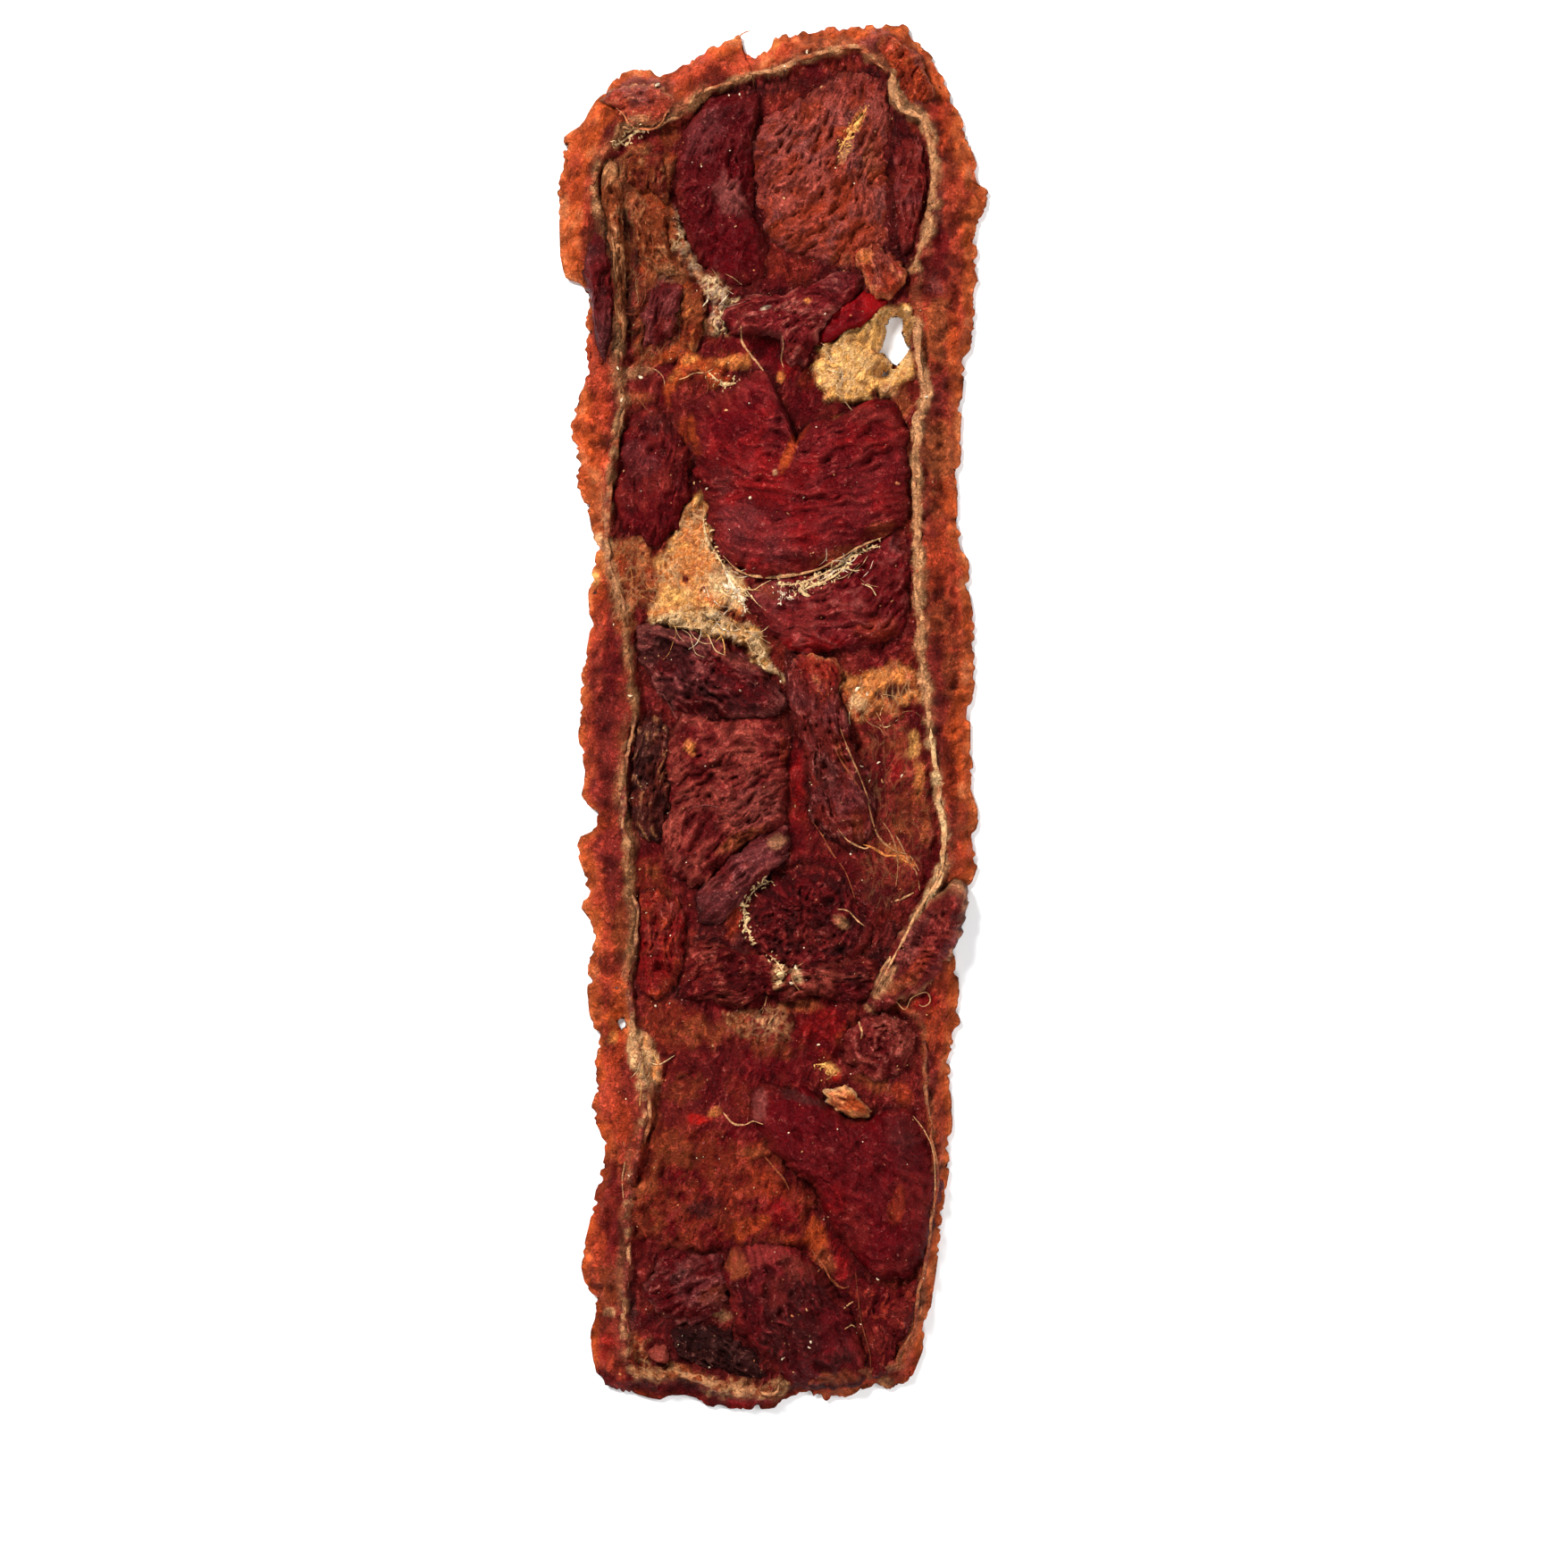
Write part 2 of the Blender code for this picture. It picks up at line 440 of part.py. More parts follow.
def apply_boolean(obj, collection, operation):
    """Joins a collection to an object, or cuts it away, and removes the collection's objects."""
    modifier = obj.modifiers.new(operation.lower(), "BOOLEAN")
    modifier.operation = operation
    modifier.operand_type = "COLLECTION"
    modifier.collection = collection
    modifier.solver = "EXACT"
    depsgraph = bpy.context.evaluated_depsgraph_get()
    result = bpy.data.meshes.new_from_object(obj.evaluated_get(depsgraph))
    obj.modifiers.clear()
    obj.data = result
    for helper in list(collection.objects):
        bpy.data.objects.remove(helper, do_unlink=True)


def part_touching_folds(obj):
    """Where two folds only just touch along an edge, opens the surface there and closes it afresh."""
    bm = bmesh.new()
    bm.from_mesh(obj.data)
    bmesh.ops.triangulate(bm, faces=bm.faces)
    for _ in range(MENDING_ROUNDS):
        touching = {vert for edge in bm.edges if not edge.is_manifold for vert in edge.verts}
        if not touching:
            break
        bmesh.ops.delete(bm, geom=list(touching), context="VERTS")
        open_edges = [edge for edge in bm.edges if edge.is_boundary]
        patches = bmesh.ops.holes_fill(bm, edges=open_edges, sides=0)["faces"]
        bmesh.ops.triangulate(bm, faces=patches)
    bmesh.ops.recalc_face_normals(bm, faces=bm.faces)
    bm.to_mesh(obj.data)
    bm.free()


def keep_largest_body(obj):
    """Fills sealed hollows and drops loose scraps, which are bodies apart from the largest."""
    bm = bmesh.new()
    bm.from_mesh(obj.data)
    unseen = set(bm.verts)
    bodies = []
    while unseen:
        front = [unseen.pop()]
        body = set(front)
        while front:
            vert = front.pop()
            for edge in vert.link_edges:
                other = edge.other_vert(vert)
                if other in unseen:
                    unseen.discard(other)
                    body.add(other)
                    front.append(other)
        bodies.append(body)
    bodies.sort(key=len)
    for body in bodies[:-1]:
        bmesh.ops.delete(bm, geom=list(body), context="VERTS")
    bm.to_mesh(obj.data)
    bm.free()


def stand_on_origin(obj):
    """Moves the strip's box so that the origin is the middle of its underside."""
    corners = np.array([vert.co for vert in obj.data.vertices])
    low = corners.min(axis=0)
    high = corners.max(axis=0)
    shift = Vector((-(low[0] + high[0]) / 2.0, -(low[1] + high[1]) / 2.0, -low[2]))
    for vert in obj.data.vertices:
        vert.co += shift


def main():
    clear_scene()
    parts = new_collection("venison_jerky_strip")
    relief = new_collection("relief")
    cutters = new_collection("cutters")
    strip = make_sheet(parts)
    for name, flap in FLAPS.items():
        make_flap(name, flap, relief)
    ridges = {
        "top_ridge": TOP_RIDGE, "right_ridge": RIGHT_RIDGE, "lower_right_ridge": LOWER_RIGHT_RIDGE,
        "bottom_ridge": BOTTOM_RIDGE, "left_ridge": LEFT_RIDGE,
    }
    for name, route in ridges.items():
        make_ridge(name, route, relief)
    apply_boolean(strip, relief, "UNION")
    make_tear(cutters)
    make_pinhole(cutters)
    apply_boolean(strip, cutters, "DIFFERENCE")
    part_touching_folds(strip)
    keep_largest_body(strip)
    stand_on_origin(strip)
    strip.data.materials.clear()
    strip.data.materials.append(dried_meat())


main()
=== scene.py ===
"""A strip of dried venison for dogs, seen from above: torn amber rim, dark folded muscle, pale fat.

Lengths are millimetres until a mesh is finished, when they become metres. Colours are named by
their 0 to 255 values. +Y runs along the strip, +X across it and +Z up.
"""

import math

import bmesh
import bpy
import numpy as np
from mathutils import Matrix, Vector


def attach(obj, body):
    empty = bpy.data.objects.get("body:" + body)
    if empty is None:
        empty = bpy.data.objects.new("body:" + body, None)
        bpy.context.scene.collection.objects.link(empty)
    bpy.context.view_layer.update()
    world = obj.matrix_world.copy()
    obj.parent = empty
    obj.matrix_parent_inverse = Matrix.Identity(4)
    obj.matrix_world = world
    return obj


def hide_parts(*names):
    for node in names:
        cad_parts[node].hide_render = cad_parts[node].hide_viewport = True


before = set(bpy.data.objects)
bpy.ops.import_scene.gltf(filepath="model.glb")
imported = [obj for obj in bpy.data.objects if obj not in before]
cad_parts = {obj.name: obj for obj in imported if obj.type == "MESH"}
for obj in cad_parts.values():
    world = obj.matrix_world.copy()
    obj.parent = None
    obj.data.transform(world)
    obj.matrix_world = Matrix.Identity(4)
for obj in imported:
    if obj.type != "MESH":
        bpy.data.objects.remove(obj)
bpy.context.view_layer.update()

MM = 0.001
NODE = "venison_jerky"

# The strip's mean width and length, and how finely each kind of piece is made, in millimetres a cell
STRIP_SIZE = (37.5, 137.0)
BED_CELL = 0.27
BED_FINER_ACROSS = 1.15
UNDERSIDE_CELL = 0.55
FLAP_CELL = 0.19
MOST_FLAP_CELLS = 120
THREAD_STEP = 0.3
CRUMB_STEP = 0.08
# How many tiny pale flakes are scattered: partly real flecks, partly painted glints
FLAKES_AND_GLINTS = 700

# Heights of the strip without its folds, of a fold's foot and of the lowest strand
RIM_EDGE = 0.45
RIM_THICKNESS = 1.15
BORDER_TOP = 2.45
RECESS_FLOOR = 1.65
FOLD_FOOT = 0.9
LOWEST_STRAND = 0.6

# Widths of the border's slope and of the step into the recess, and depth of the teeth at the edge
BORDER_SLOPE = 3.4
RECESS_STEP = 0.8
TOOTH = 0.5

# The fibres: their course on the bed and on what has none of its own, the radius that a turn about
# a middle is measured at, and how their coordinates are stretched
BED_COURSE = ("along", 84, 0.0)
PLAIN_COURSE = ("along", 88, 0.0)
ROUND_COURSE_RADIUS = 8.0
ALONG_STREAKS = 0.8
ACROSS_STREAKS = 2.5

# How thick ridges and threads are drawn for the radius in their tables, and how flat ridges are
RIDGE_SHARE = 0.7
RIDGE_FLATNESS = 0.55
THREAD_SHARE = 0.6

# The map of heights that loose bits are laid on: millimetres a cell, and cells a side
RASTER_CELL = 0.3
RASTER_SIDE = 500

# Where loose bits lie: never below these heights, and the flakes and glints within half this width and
# these ends
FLAKE_AND_GLINT_GROUND = 1.6
STRAND_GROUND = 1.5
HALF_WIDTH = 16.0
FLAKE_AND_GLINT_ENDS = (-66.0, 64.0)

# Grain of the materials, in grains a metre
PEBBLES = 1400.0
GRIT = 4200.0
DENTS = 1900.0
FAT_GRIT = 5200.0
ROUND_WEB = 1150.0

# Tints that the materials add, as the renderer reckons with them: painted highlight on crests, painted
# glints and strands of fat
CREST_HIGHLIGHT_TINT = (0.36, 0.13, 0.1)
GLINT_TINT = (0.7, 0.45, 0.36)
STRAND_TINT = (0.6, 0.28, 0.09)
PALE_STRAND_TINT = (0.88, 0.6, 0.31)
TABLE_TINT = (0.93, 0.93, 0.93, 1.0)

# The photograph's frame: its width at the strip's surface, and the strip's place in it
FRAME_WIDTH = 156.0
FRAME_MIDDLE = (1.07, -6.8)
SURFACE_HEIGHT = 2.0
CAMERA_DISTANCE = 420.0
SENSOR_WIDTH = 36.0

# Lights: name, place in metres, side in metres and power in watts; and the light all round
LIGHTS = [
    ("window_light", (-0.42, 0.5, 0.55), 0.2, 13.4),
    ("right_light", (0.6, 0.05, 0.5), 0.4, 3.6),
    ("low_light", (0.0, -0.6, 0.5), 0.4, 3.0),
]
SKY_STRENGTH = 0.16

# Colours of dried meat, as they look in daylight
PAINTS = {
    "amber": (166, 72, 31),
    "pale_amber": (200, 118, 72),
    "deep_amber": (168, 64, 25),
    "rust": (146, 48, 22),
    "brick": (158, 54, 32),
    "plum": (106, 28, 22),
    "dark_plum": (82, 10, 12),
    "maroon": (80, 2, 7),
    "mauve": (124, 60, 54),
    "grey_plum": (98, 38, 38),
    "blood": (118, 6, 9),
    "scarlet": (150, 14, 8),
    "near_black": (48, 12, 12),
    "charcoal": (66, 34, 30),
    "brown": (116, 48, 22),
    "warm_brown": (140, 66, 34),
    "olive_tan": (160, 104, 66),
    "tan": (196, 138, 92),
    "cream": (228, 184, 130),
    "white_fat": (238, 206, 170),
    "honey": (204, 118, 56),
    "straw": (222, 156, 82),
    "peach": (198, 112, 70),
    "crimson": (124, 10, 12),
    "plum_red": (108, 24, 26),
    "rose_brown": (140, 58, 46),
    "plum_rose": (118, 36, 32),
    "brown_plum": (96, 34, 24),
    "rust_dark": (110, 30, 16),
    "maroon_dark": (74, 6, 10),
    "black_meat": (42, 12, 10),
    "rose": (164, 90, 76),
    "butter": (224, 160, 82),
}

# The torn outline: (along, across) on the long sides and (across, along) on the ends
LEFT_EDGE = [
    (-67.3, -17.3), (-65.9, -17.6), (-64.3, -18), (-62.2, -18.3), (-61.2, -18.2), (-60.2, -17.8),
    (-58.9, -17.7), (-57.6, -18.3), (-56.4, -18.9), (-55.1, -19.2), (-53.2, -19), (-50.8, -18.4),
    (-46.7, -17.6), (-45.2, -17.2), (-43.8, -16.8), (-42.8, -16.9), (-41.3, -17.4), (-40.2, -18),
    (-39.1, -18.2), (-37.5, -17.8), (-35.9, -17.7), (-34.5, -17.9), (-33.9, -17.6), (-32.3, -17.6),
    (-31.1, -18), (-29.7, -18.4), (-27.5, -18.6), (-24.9, -18.5), (-24.1, -18.8), (-23.6, -18.2),
    (-22.7, -18), (-21.2, -18), (-20, -18.6), (-19.2, -19.2), (-17.6, -18.7), (-15.7, -18.9),
    (-14.1, -19.5), (-12.9, -19.6), (-11.9, -19.2), (-11.6, -18.5), (-11.1, -17.7), (-10.1, -17.6),
    (-9.3, -18), (-8.9, -18.6), (-7.9, -19.2), (-6.8, -18.9), (-5.1, -18.9), (-3.6, -19.3),
    (-2, -19.5), (1.6, -19.3), (4.2, -19.2), (5.9, -18.8), (8, -18.4), (10, -18.4), (12.2, -18.5),
    (13.6, -18.3), (15.2, -17.9), (16.4, -17.7), (18.2, -18.1), (20, -18.4), (21.1, -18.8),
    (22.2, -19.3), (23.3, -19.9), (25.1, -19.6), (26.7, -19.8), (27.9, -20.2), (28.9, -20.4),
    (30.1, -20.1), (31.4, -19.6), (32.5, -19.2), (33.9, -19.2), (34.1, -18.8), (37.8, -18.9),
    (38.7, -18.7), (39.8, -18.9), (40.9, -18.3), (42.3, -18.7), (43.2, -19.3), (43.6, -20.7),
    (44.5, -21), (46, -21.3), (49.7, -21.4), (52.4, -21.6), (54.5, -21.2), (56.8, -21), (57.8, -20.9),
]
RIGHT_EDGE = [
    (-66.2, 13.8), (-63.5, 14.9), (-60, 15.6), (-56, 16.2), (-53, 16.6), (-50, 16.9), (-47.6, 17.2),
    (-45.4, 17.6), (-43, 17.7), (-40.7, 17.9), (-38.3, 17.8), (-36.7, 17.6), (-35.6, 17.7),
    (-34, 17.6), (-32.7, 18.2), (-31, 18.4), (-30.8, 18.8), (-29.6, 18.4), (-27.5, 18.6),
    (-25.2, 18.4), (-23.8, 18.1), (-22.7, 17.8), (-21.6, 18), (-20.4, 18.4), (-19, 18.9), (-17, 19.5),
    (-16.5, 19.9), (-15.1, 20.4), (-13.2, 20.4), (-11.6, 20.2), (-10.5, 20.5), (-9.2, 20.4),
    (-7.3, 19.7), (-6.4, 19.9), (-6.1, 20.4), (-5.2, 20), (-3.1, 19.7), (-0.8, 19.7), (1.6, 19.9),
    (3.6, 20.2), (6.4, 20.1), (9.5, 20.1), (11.8, 19.7), (13, 19.4), (14, 19.7), (15.6, 19.5),
    (16.6, 19.2), (18.2, 18.8), (20.3, 18.4), (21.9, 18.4), (25.9, 18.8), (28.5, 18.7), (30.9, 18.9),
    (32.2, 18.9), (34.1, 19.1), (36, 19.4), (37.2, 20), (38.7, 20.3), (41.9, 20), (43.1, 20.2),
    (43.6, 20.6), (45.2, 20.4), (48.9, 20.4), (49.9, 20.8), (50.8, 21.3), (52.4, 21.5), (53.2, 20.8),
    (55.2, 20.3), (57.6, 19.4), (59.8, 18.8), (61.4, 18), (62.8, 17.4), (65.2, 16.4), (66.2, 15.6),
    (66.6, 15), (68.4, 14.1),
]
BOTTOM_EDGE = [
    (-17.3, -67.3), (-15.2, -67.6), (-14, -67.6), (-12.4, -68.1), (-11.3, -68.3), (-10.5, -67.9),
    (-8.9, -67.8), (-7.7, -68.1), (-6.9, -68.8), (-5.7, -69.1), (-2.3, -69.3), (-0.5, -69.2),
    (0.7, -69), (1, -68.4), (1.8, -67.9), (2.6, -67.8), (2.9, -67.5), (3.8, -67.6), (4, -68.3),
    (4.5, -67.9), (5.1, -68.4), (6.5, -68.3), (7.9, -67.8), (8.9, -67.3), (10.1, -66.9),
    (10.9, -66.9), (11.2, -67.6), (11.7, -67.2), (12.8, -66.8), (13.8, -66.2),
]
TOP_EDGE = [
    (-20.9, 57.8), (-20.3, 58.3), (-19.3, 58.9), (-18.5, 60.2), (-17.8, 61.4), (-16.9, 62.2),
    (-16.4, 63.3), (-15.1, 64.2), (-13.2, 64.8), (-12, 64.5), (-11.2, 64), (-10.2, 64.2),
    (-9.2, 64.9), (-7.5, 66.2), (-5.9, 67), (-4.3, 68), (-3.3, 68), (-3.1, 67.2), (-2.9, 66.4),
    (-2.4, 66), (-1.4, 66), (-0.9, 66.5), (-0.2, 66.8), (0, 67.5), (0.3, 67.9), (2.5, 68.4),
    (5.3, 68.9), (8.1, 68.8), (11, 69.2), (11.8, 68.9), (12.6, 68.9), (12.9, 69.2), (13.6, 68.7),
    (14.1, 68.4),
]

# Holes: the tear, a small one beside it and three pinholes
TEAR = [
    (12.3, 40.0), (12.8, 39.6), (12.6, 38.9), (12.9, 38.0), (13.5, 36.4), (12.8, 35.5),
    (12.1, 34.8), (11.6, 35.7), (10.8, 36.4), (11.0, 37.2), (11.3, 38.2), (11.4, 39.0), (11.7, 39.6),
]
SMALL_TEAR = [(10.8, 34.1), (11.2, 34.4), (11.7, 34.2), (11.3, 33.9)]
PINHOLE = [(-15.6, -30.6), (-15.2, -30.1), (-14.7, -30.5), (-14.8, -31.1), (-15.3, -31.3)]
RIM_HOLE = [(-20.8, 57.2), (-20.5, 57.0), (-20.5, 56.5), (-20.8, 56.6)]
LEFT_HOLE = [(-18.0, 12.4), (-17.7, 12.5), (-17.6, 12.2), (-17.9, 12.1)]
HOLES = [TEAR, SMALL_TEAR, PINHOLE, RIM_HOLE, LEFT_HOLE]

# Routes of the pale ridges along the inner side of the border
TOP_RIDGE = [
    (-15.6, 57), (-15, 58.6), (-13.9, 58.4), (-11.8, 58.5), (-10.5, 59.4), (-8.6, 60), (-7.2, 61.7),
    (-4.7, 62.8), (-2.3, 63.6), (1.5, 64.6), (3.4, 65.6), (8.2, 66.5), (10, 65.2), (11.2, 64.1),
]
RIGHT_RIDGE = [
    (11.9, 64), (11.9, 62), (13, 60.2), (14.8, 59.6), (15.5, 57.9), (16, 54.3), (15.7, 50.8),
    (15.2, 47.4), (14.1, 44.9), (13.7, 42.6), (13.9, 41.2), (14.2, 39.2), (14.7, 34.8), (15.1, 31.6),
    (14.4, 29), (14.1, 25.3), (14.3, 21.4), (14.3, 17), (14.4, 12.5), (14.7, 8.8), (14.6, 6.6),
    (14.8, 5.4), (15.1, 3.2), (15.6, -1.2), (16.2, -6.1), (16.9, -10.6), (17, -14), (16.4, -16.6),
    (14.3, -19.6), (12.3, -23.5), (10.3, -26.7),
]
LOWER_RIGHT_RIDGE = [
    (14.9, -31), (15.2, -37.2), (16, -43), (16.1, -47.9), (15.2, -54), (14, -60), (12.3, -64.3),
]
BOTTOM_RIDGE = [
    (0.6, -66.6), (0.2, -67.4), (-2.9, -67.3), (-5, -66.6), (-7.3, -66), (-9.6, -65.3),
    (-11.8, -65.6), (-13.7, -65.3),
]
LEFT_RIDGE = [
    (-14.4, -63.5), (-14.7, -58.6), (-14.5, -53.2), (-14.5, -48.4), (-13.5, -43.8), (-12.6, -39.9),
    (-12.5, -36.7), (-13.8, -31.9), (-14.3, -27.2), (-14.1, -24.3), (-13.7, -19.6), (-14.2, -17),
    (-15, -7.9), (-14.7, -3.9), (-13.6, 0), (-14, 3.2), (-14.6, 8.3), (-16.6, 17), (-16.5, 21.4),
    (-15.6, 27.5), (-15, 31.2), (-15.4, 34.8), (-15.2, 41.2), (-15.6, 44.7), (-16.4, 47.6),
    (-17.2, 50.3), (-17.8, 52.5), (-17.4, 54.8),
]

OUTLINE = (
    BOTTOM_EDGE + [(x, y) for y, x in RIGHT_EDGE[1:]] + TOP_EDGE[-2::-1]
    + [(x, y) for y, x in LEFT_EDGE[-2:0:-1]])
RIDGE_LOOP = TOP_RIDGE + RIGHT_RIDGE + LOWER_RIGHT_RIDGE + BOTTOM_RIDGE + LEFT_RIDGE

# Ridges: route, radius, height of the middle and four paints; the last is also a painted highlight
# along each ridge's top
RIDGES = {
    "top": (TOP_RIDGE, 0.42, 2.5, ("warm_brown", "olive_tan", "brown", "tan")),
    "right_upper": (RIGHT_RIDGE[:9], 0.6, 2.6, ("olive_tan", "tan", "warm_brown", "tan")),
    "right_middle": (RIGHT_RIDGE[11:24], 0.5, 2.6, ("olive_tan", "tan", "warm_brown", "tan")),
    "right_low": (RIGHT_RIDGE[23:], 0.5, 2.65, ("tan", "tan", "warm_brown", "cream")),
    "lower_right": (LOWER_RIGHT_RIDGE, 0.3, 2.5, ("brown", "warm_brown", "plum", "olive_tan")),
    "bottom": (BOTTOM_RIDGE, 0.62, 2.25, ("olive_tan", "warm_brown", "brown", "tan")),
    "left_low": (LEFT_RIDGE[:8], 0.45, 2.4, ("warm_brown", "rose_brown", "brown", "tan")),
    "left_middle": (LEFT_RIDGE[7:17], 0.45, 2.5, ("plum", "olive_tan", "brown", "tan")),
    "left_upper": (LEFT_RIDGE[16:], 0.5, 2.5, ("warm_brown", "olive_tan", "plum", "tan")),
}

# Width of the amber rim down each long side: (along, width)
AMBER_LEFT = [
    (-67, 1.4), (-60, 0.9), (-50, 1.0), (-42, 1.2), (-35, 1.2), (-28, 1.7), (-20, 1.7), (-14, 1.5),
    (-9, 0.9), (-4, 1.1), (2, 1.1), (8, 0.7), (12, 1.4), (18, 1.9), (24, 2.6), (30, 2.2),
    (35, 0.9), (40, 0.7), (44, 2.2), (50, 2.6), (57, 3.2), (60, 3.0),
]
AMBER_RIGHT = [
    (-66, 1.4), (-45, 1.2), (-36, 1.3), (-28, 1.9), (-22, 1.5), (-16, 2.0), (-10, 2.4), (-4, 2.0),
    (2, 2.0), (8, 1.8), (14, 1.5), (20, 1.4), (28, 1.4), (34, 2.0), (40, 1.6), (46, 1.8),
    (52, 2.4), (58, 2.4), (64, 2.2),
]

# Soft grounds of fat and membrane in the recess: rise, size of the pores, strength of the web,
# paints of the ground, its patches and its web, and the outline
GROUNDS = {
    "yellow_fat": (0.9, 0.85, 0.6, "butter", "straw", "cream", [
        (4, 36.4), (7, 37.6), (9.6, 38.8), (11.2, 40.6), (13.2, 40.8), (13.8, 37), (13.4, 34),
        (12.2, 32), (9.5, 31.5), (7, 31.2), (5.2, 32.6), (4.2, 34.4)]),
    "fat_triangle": (0.8, 0.9, 0.45, "honey", "straw", "cream", [
        (-6.8, 22.4), (-8.6, 20.2), (-10.5, 18), (-11.8, 15.2), (-12.4, 13), (-12.2, 10.2),
        (-9, 10.3), (-5.5, 10.8), (-3, 10.6), (-2.4, 13), (-4.8, 14.8), (-5.4, 17), (-6.2, 19.6)]),
    "cream_lace": (1.3, 0.95, 0.95, "straw", "cream", "white_fat", [
        (-12.4, 9.8), (-9, 10.4), (-5.5, 10.9), (-4, 9.7), (-2.6, 8.9), (-1.4, 7.5), (0.2, 5.6),
        (0.8, 3.4), (-0.6, 4.6), (-3.5, 6.5), (-6.5, 7.9), (-9.5, 8.6), (-11.9, 9)]),
    "cream_crust": (0.9, 0.8, 0.9, "warm_brown", "tan", "white_fat", [
        (-10.8, 50.2), (-9.6, 50.2), (-8.9, 47.6), (-8.2, 45.6), (-6.2, 44.4), (-4.8, 42.8),
        (-3.6, 40.6), (-4.8, 39.8), (-5.2, 38.2), (-6.4, 38), (-6.2, 40.6), (-7.8, 43.4), (-9.2, 45),
        (-10.2, 47.4)]),
    "small_lace": (0.7, 0.85, 0.9, "brown", "warm_brown", "cream", [
        (4, 14.4), (5.2, 15.2), (7.4, 15.8), (9.8, 17.4), (10.6, 17.2), (8, 15.2), (7.2, 13.6),
        (6.2, 12.4), (4.8, 13)]),
    "membrane": (0.8, 1.3, 0.45, "honey", "rust", "tan", [
        (6, 4), (9, 4.5), (12, 5.2), (14.2, 4), (14, 1), (12, 0), (8.8, -0.4), (7, 0.4), (6.2, 2)]),
    "brown_dots": (0.5, 1.1, 0.35, "warm_brown", "rust", "honey", [
        (-17, 17.4), (-14.5, 17.6), (-12.2, 17), (-11.6, 14), (-12.6, 11), (-14, 8.6), (-16.2, 9.2),
        (-16.6, 13)]),
    "golden_net": (0.6, 1.5, 0.35, "plum", "dark_plum", "warm_brown", [
        (9.6, -0.4), (13, 0.4), (15, -3), (15.8, -8), (16.2, -12), (14.8, -16.4), (13, -19),
        (10.4, -19.6), (8.4, -17), (8.8, -11), (8, -6)]),
    "left_fat": (0.8, 0.9, 0.5, "tan", "honey", "cream", [
        (-14.6, -31.4), (-13.2, -31.2), (-12.4, -32.4), (-11.4, -34), (-11.2, -36.4), (-12, -37.6),
        (-13.4, -37), (-14.6, -34.4)]),
    "left_membrane": (0.5, 1.6, 0.25, "rust_dark", "brown", "warm_brown", [
        (-14.2, -14), (-11.6, -14), (-10.2, -16), (-10.2, -18.4), (-12.4, -18), (-14, -17)]),
    "tan_lace": (0.5, 0.8, 0.8, "brown", "plum", "tan", [
        (-5, -29.6), (-2, -28.6), (1, -29.2), (2, -31.6), (0.6, -33.4), (-2.2, -31.8), (-4.4, -31)]),
    "brown_field": (0.4, 1.2, 0.35, "rust_dark", "dark_plum", "warm_brown", [
        (-14, -28.6), (-8, -28.8), (-5.4, -31), (-6, -34), (-9, -36), (-11, -34), (-12.4, -31.6)]),
    "orange_patch": (0.6, 2, 0.1, "maroon", "rust", "rust", [
        (1.6, -28.4), (4, -27.8), (6.4, -28.2), (8.8, -29.4), (8.2, -32), (6.6, -34.6), (4.2, -34.6),
        (2.6, -32)]),
    "mottled_field": (1, 1.3, 0.3, "rust_dark", "maroon", "warm_brown", [
        (-12.6, -41), (-9, -40.6), (-4, -42), (0.2, -43.4), (2.5, -46), (4.3, -48.5), (3, -52.3),
        (-1, -52.8), (-6, -53.4), (-11, -53), (-13.6, -48)]),
    "brown_side": (0.7, 1.2, 0.3, "rust_dark", "brown", "warm_brown", [
        (-14, -42), (-11.6, -42), (-10.6, -46), (-11.4, -52), (-14.2, -53), (-14.6, -47)]),
    "folded_tan": (0.8, 1.4, 0.35, "warm_brown", "deep_amber", "olive_tan", [
        (-15.2, 57), (-12.4, 57.4), (-10.2, 55), (-10.2, 50.4), (-9.2, 46.4), (-8, 43), (-6.6, 38),
        (-8, 35.4), (-14.4, 35), (-14.8, 46), (-16, 51)]),
    "orange_edge": (0.7, 1.6, 0.1, "deep_amber", "honey", "straw", [
        (-10.4, 31.2), (-8.6, 33.8), (-5.8, 33), (-3.6, 32.6), (-4.6, 35), (-2.6, 36), (-6, 35.8),
        (-8.8, 35.2), (-10.6, 32.6)]),
    "bottom_tan": (0.5, 0.9, 0.5, "brown", "rust", "tan", [
        (-14.6, -61), (-12.8, -61.6), (-12.4, -64.6), (-9, -65.2), (-5, -66.2), (-1.2, -66.8),
        (-3, -67.4), (-8, -66.6), (-13.6, -66.2)]),
}

# Webs finer than the ground's own: how much of it is round, how much drawn out, and how pale
WEBS = {
    "yellow_fat": (0.4, 0.0, 1.0), "fat_triangle": (0.3, 0.0, 0.9), "cream_lace": (0.9, 0.0, 1.0),
    "cream_crust": (0.8, 0.0, 1.0), "small_lace": (0.8, 0.0, 1.0), "left_fat": (0.35, 0.0, 1.0),
    "tan_lace": (0.2, 0.0, 0.5), "membrane": (0.0, 0.3, 0.4), "golden_net": (0.0, 0.1, 0.2),
    "folded_tan": (0.0, 0.15, 0.2), "brown_dots": (0.2, 0.0, 0.3), "bottom_tan": (0.3, 0.0, 0.4),
}
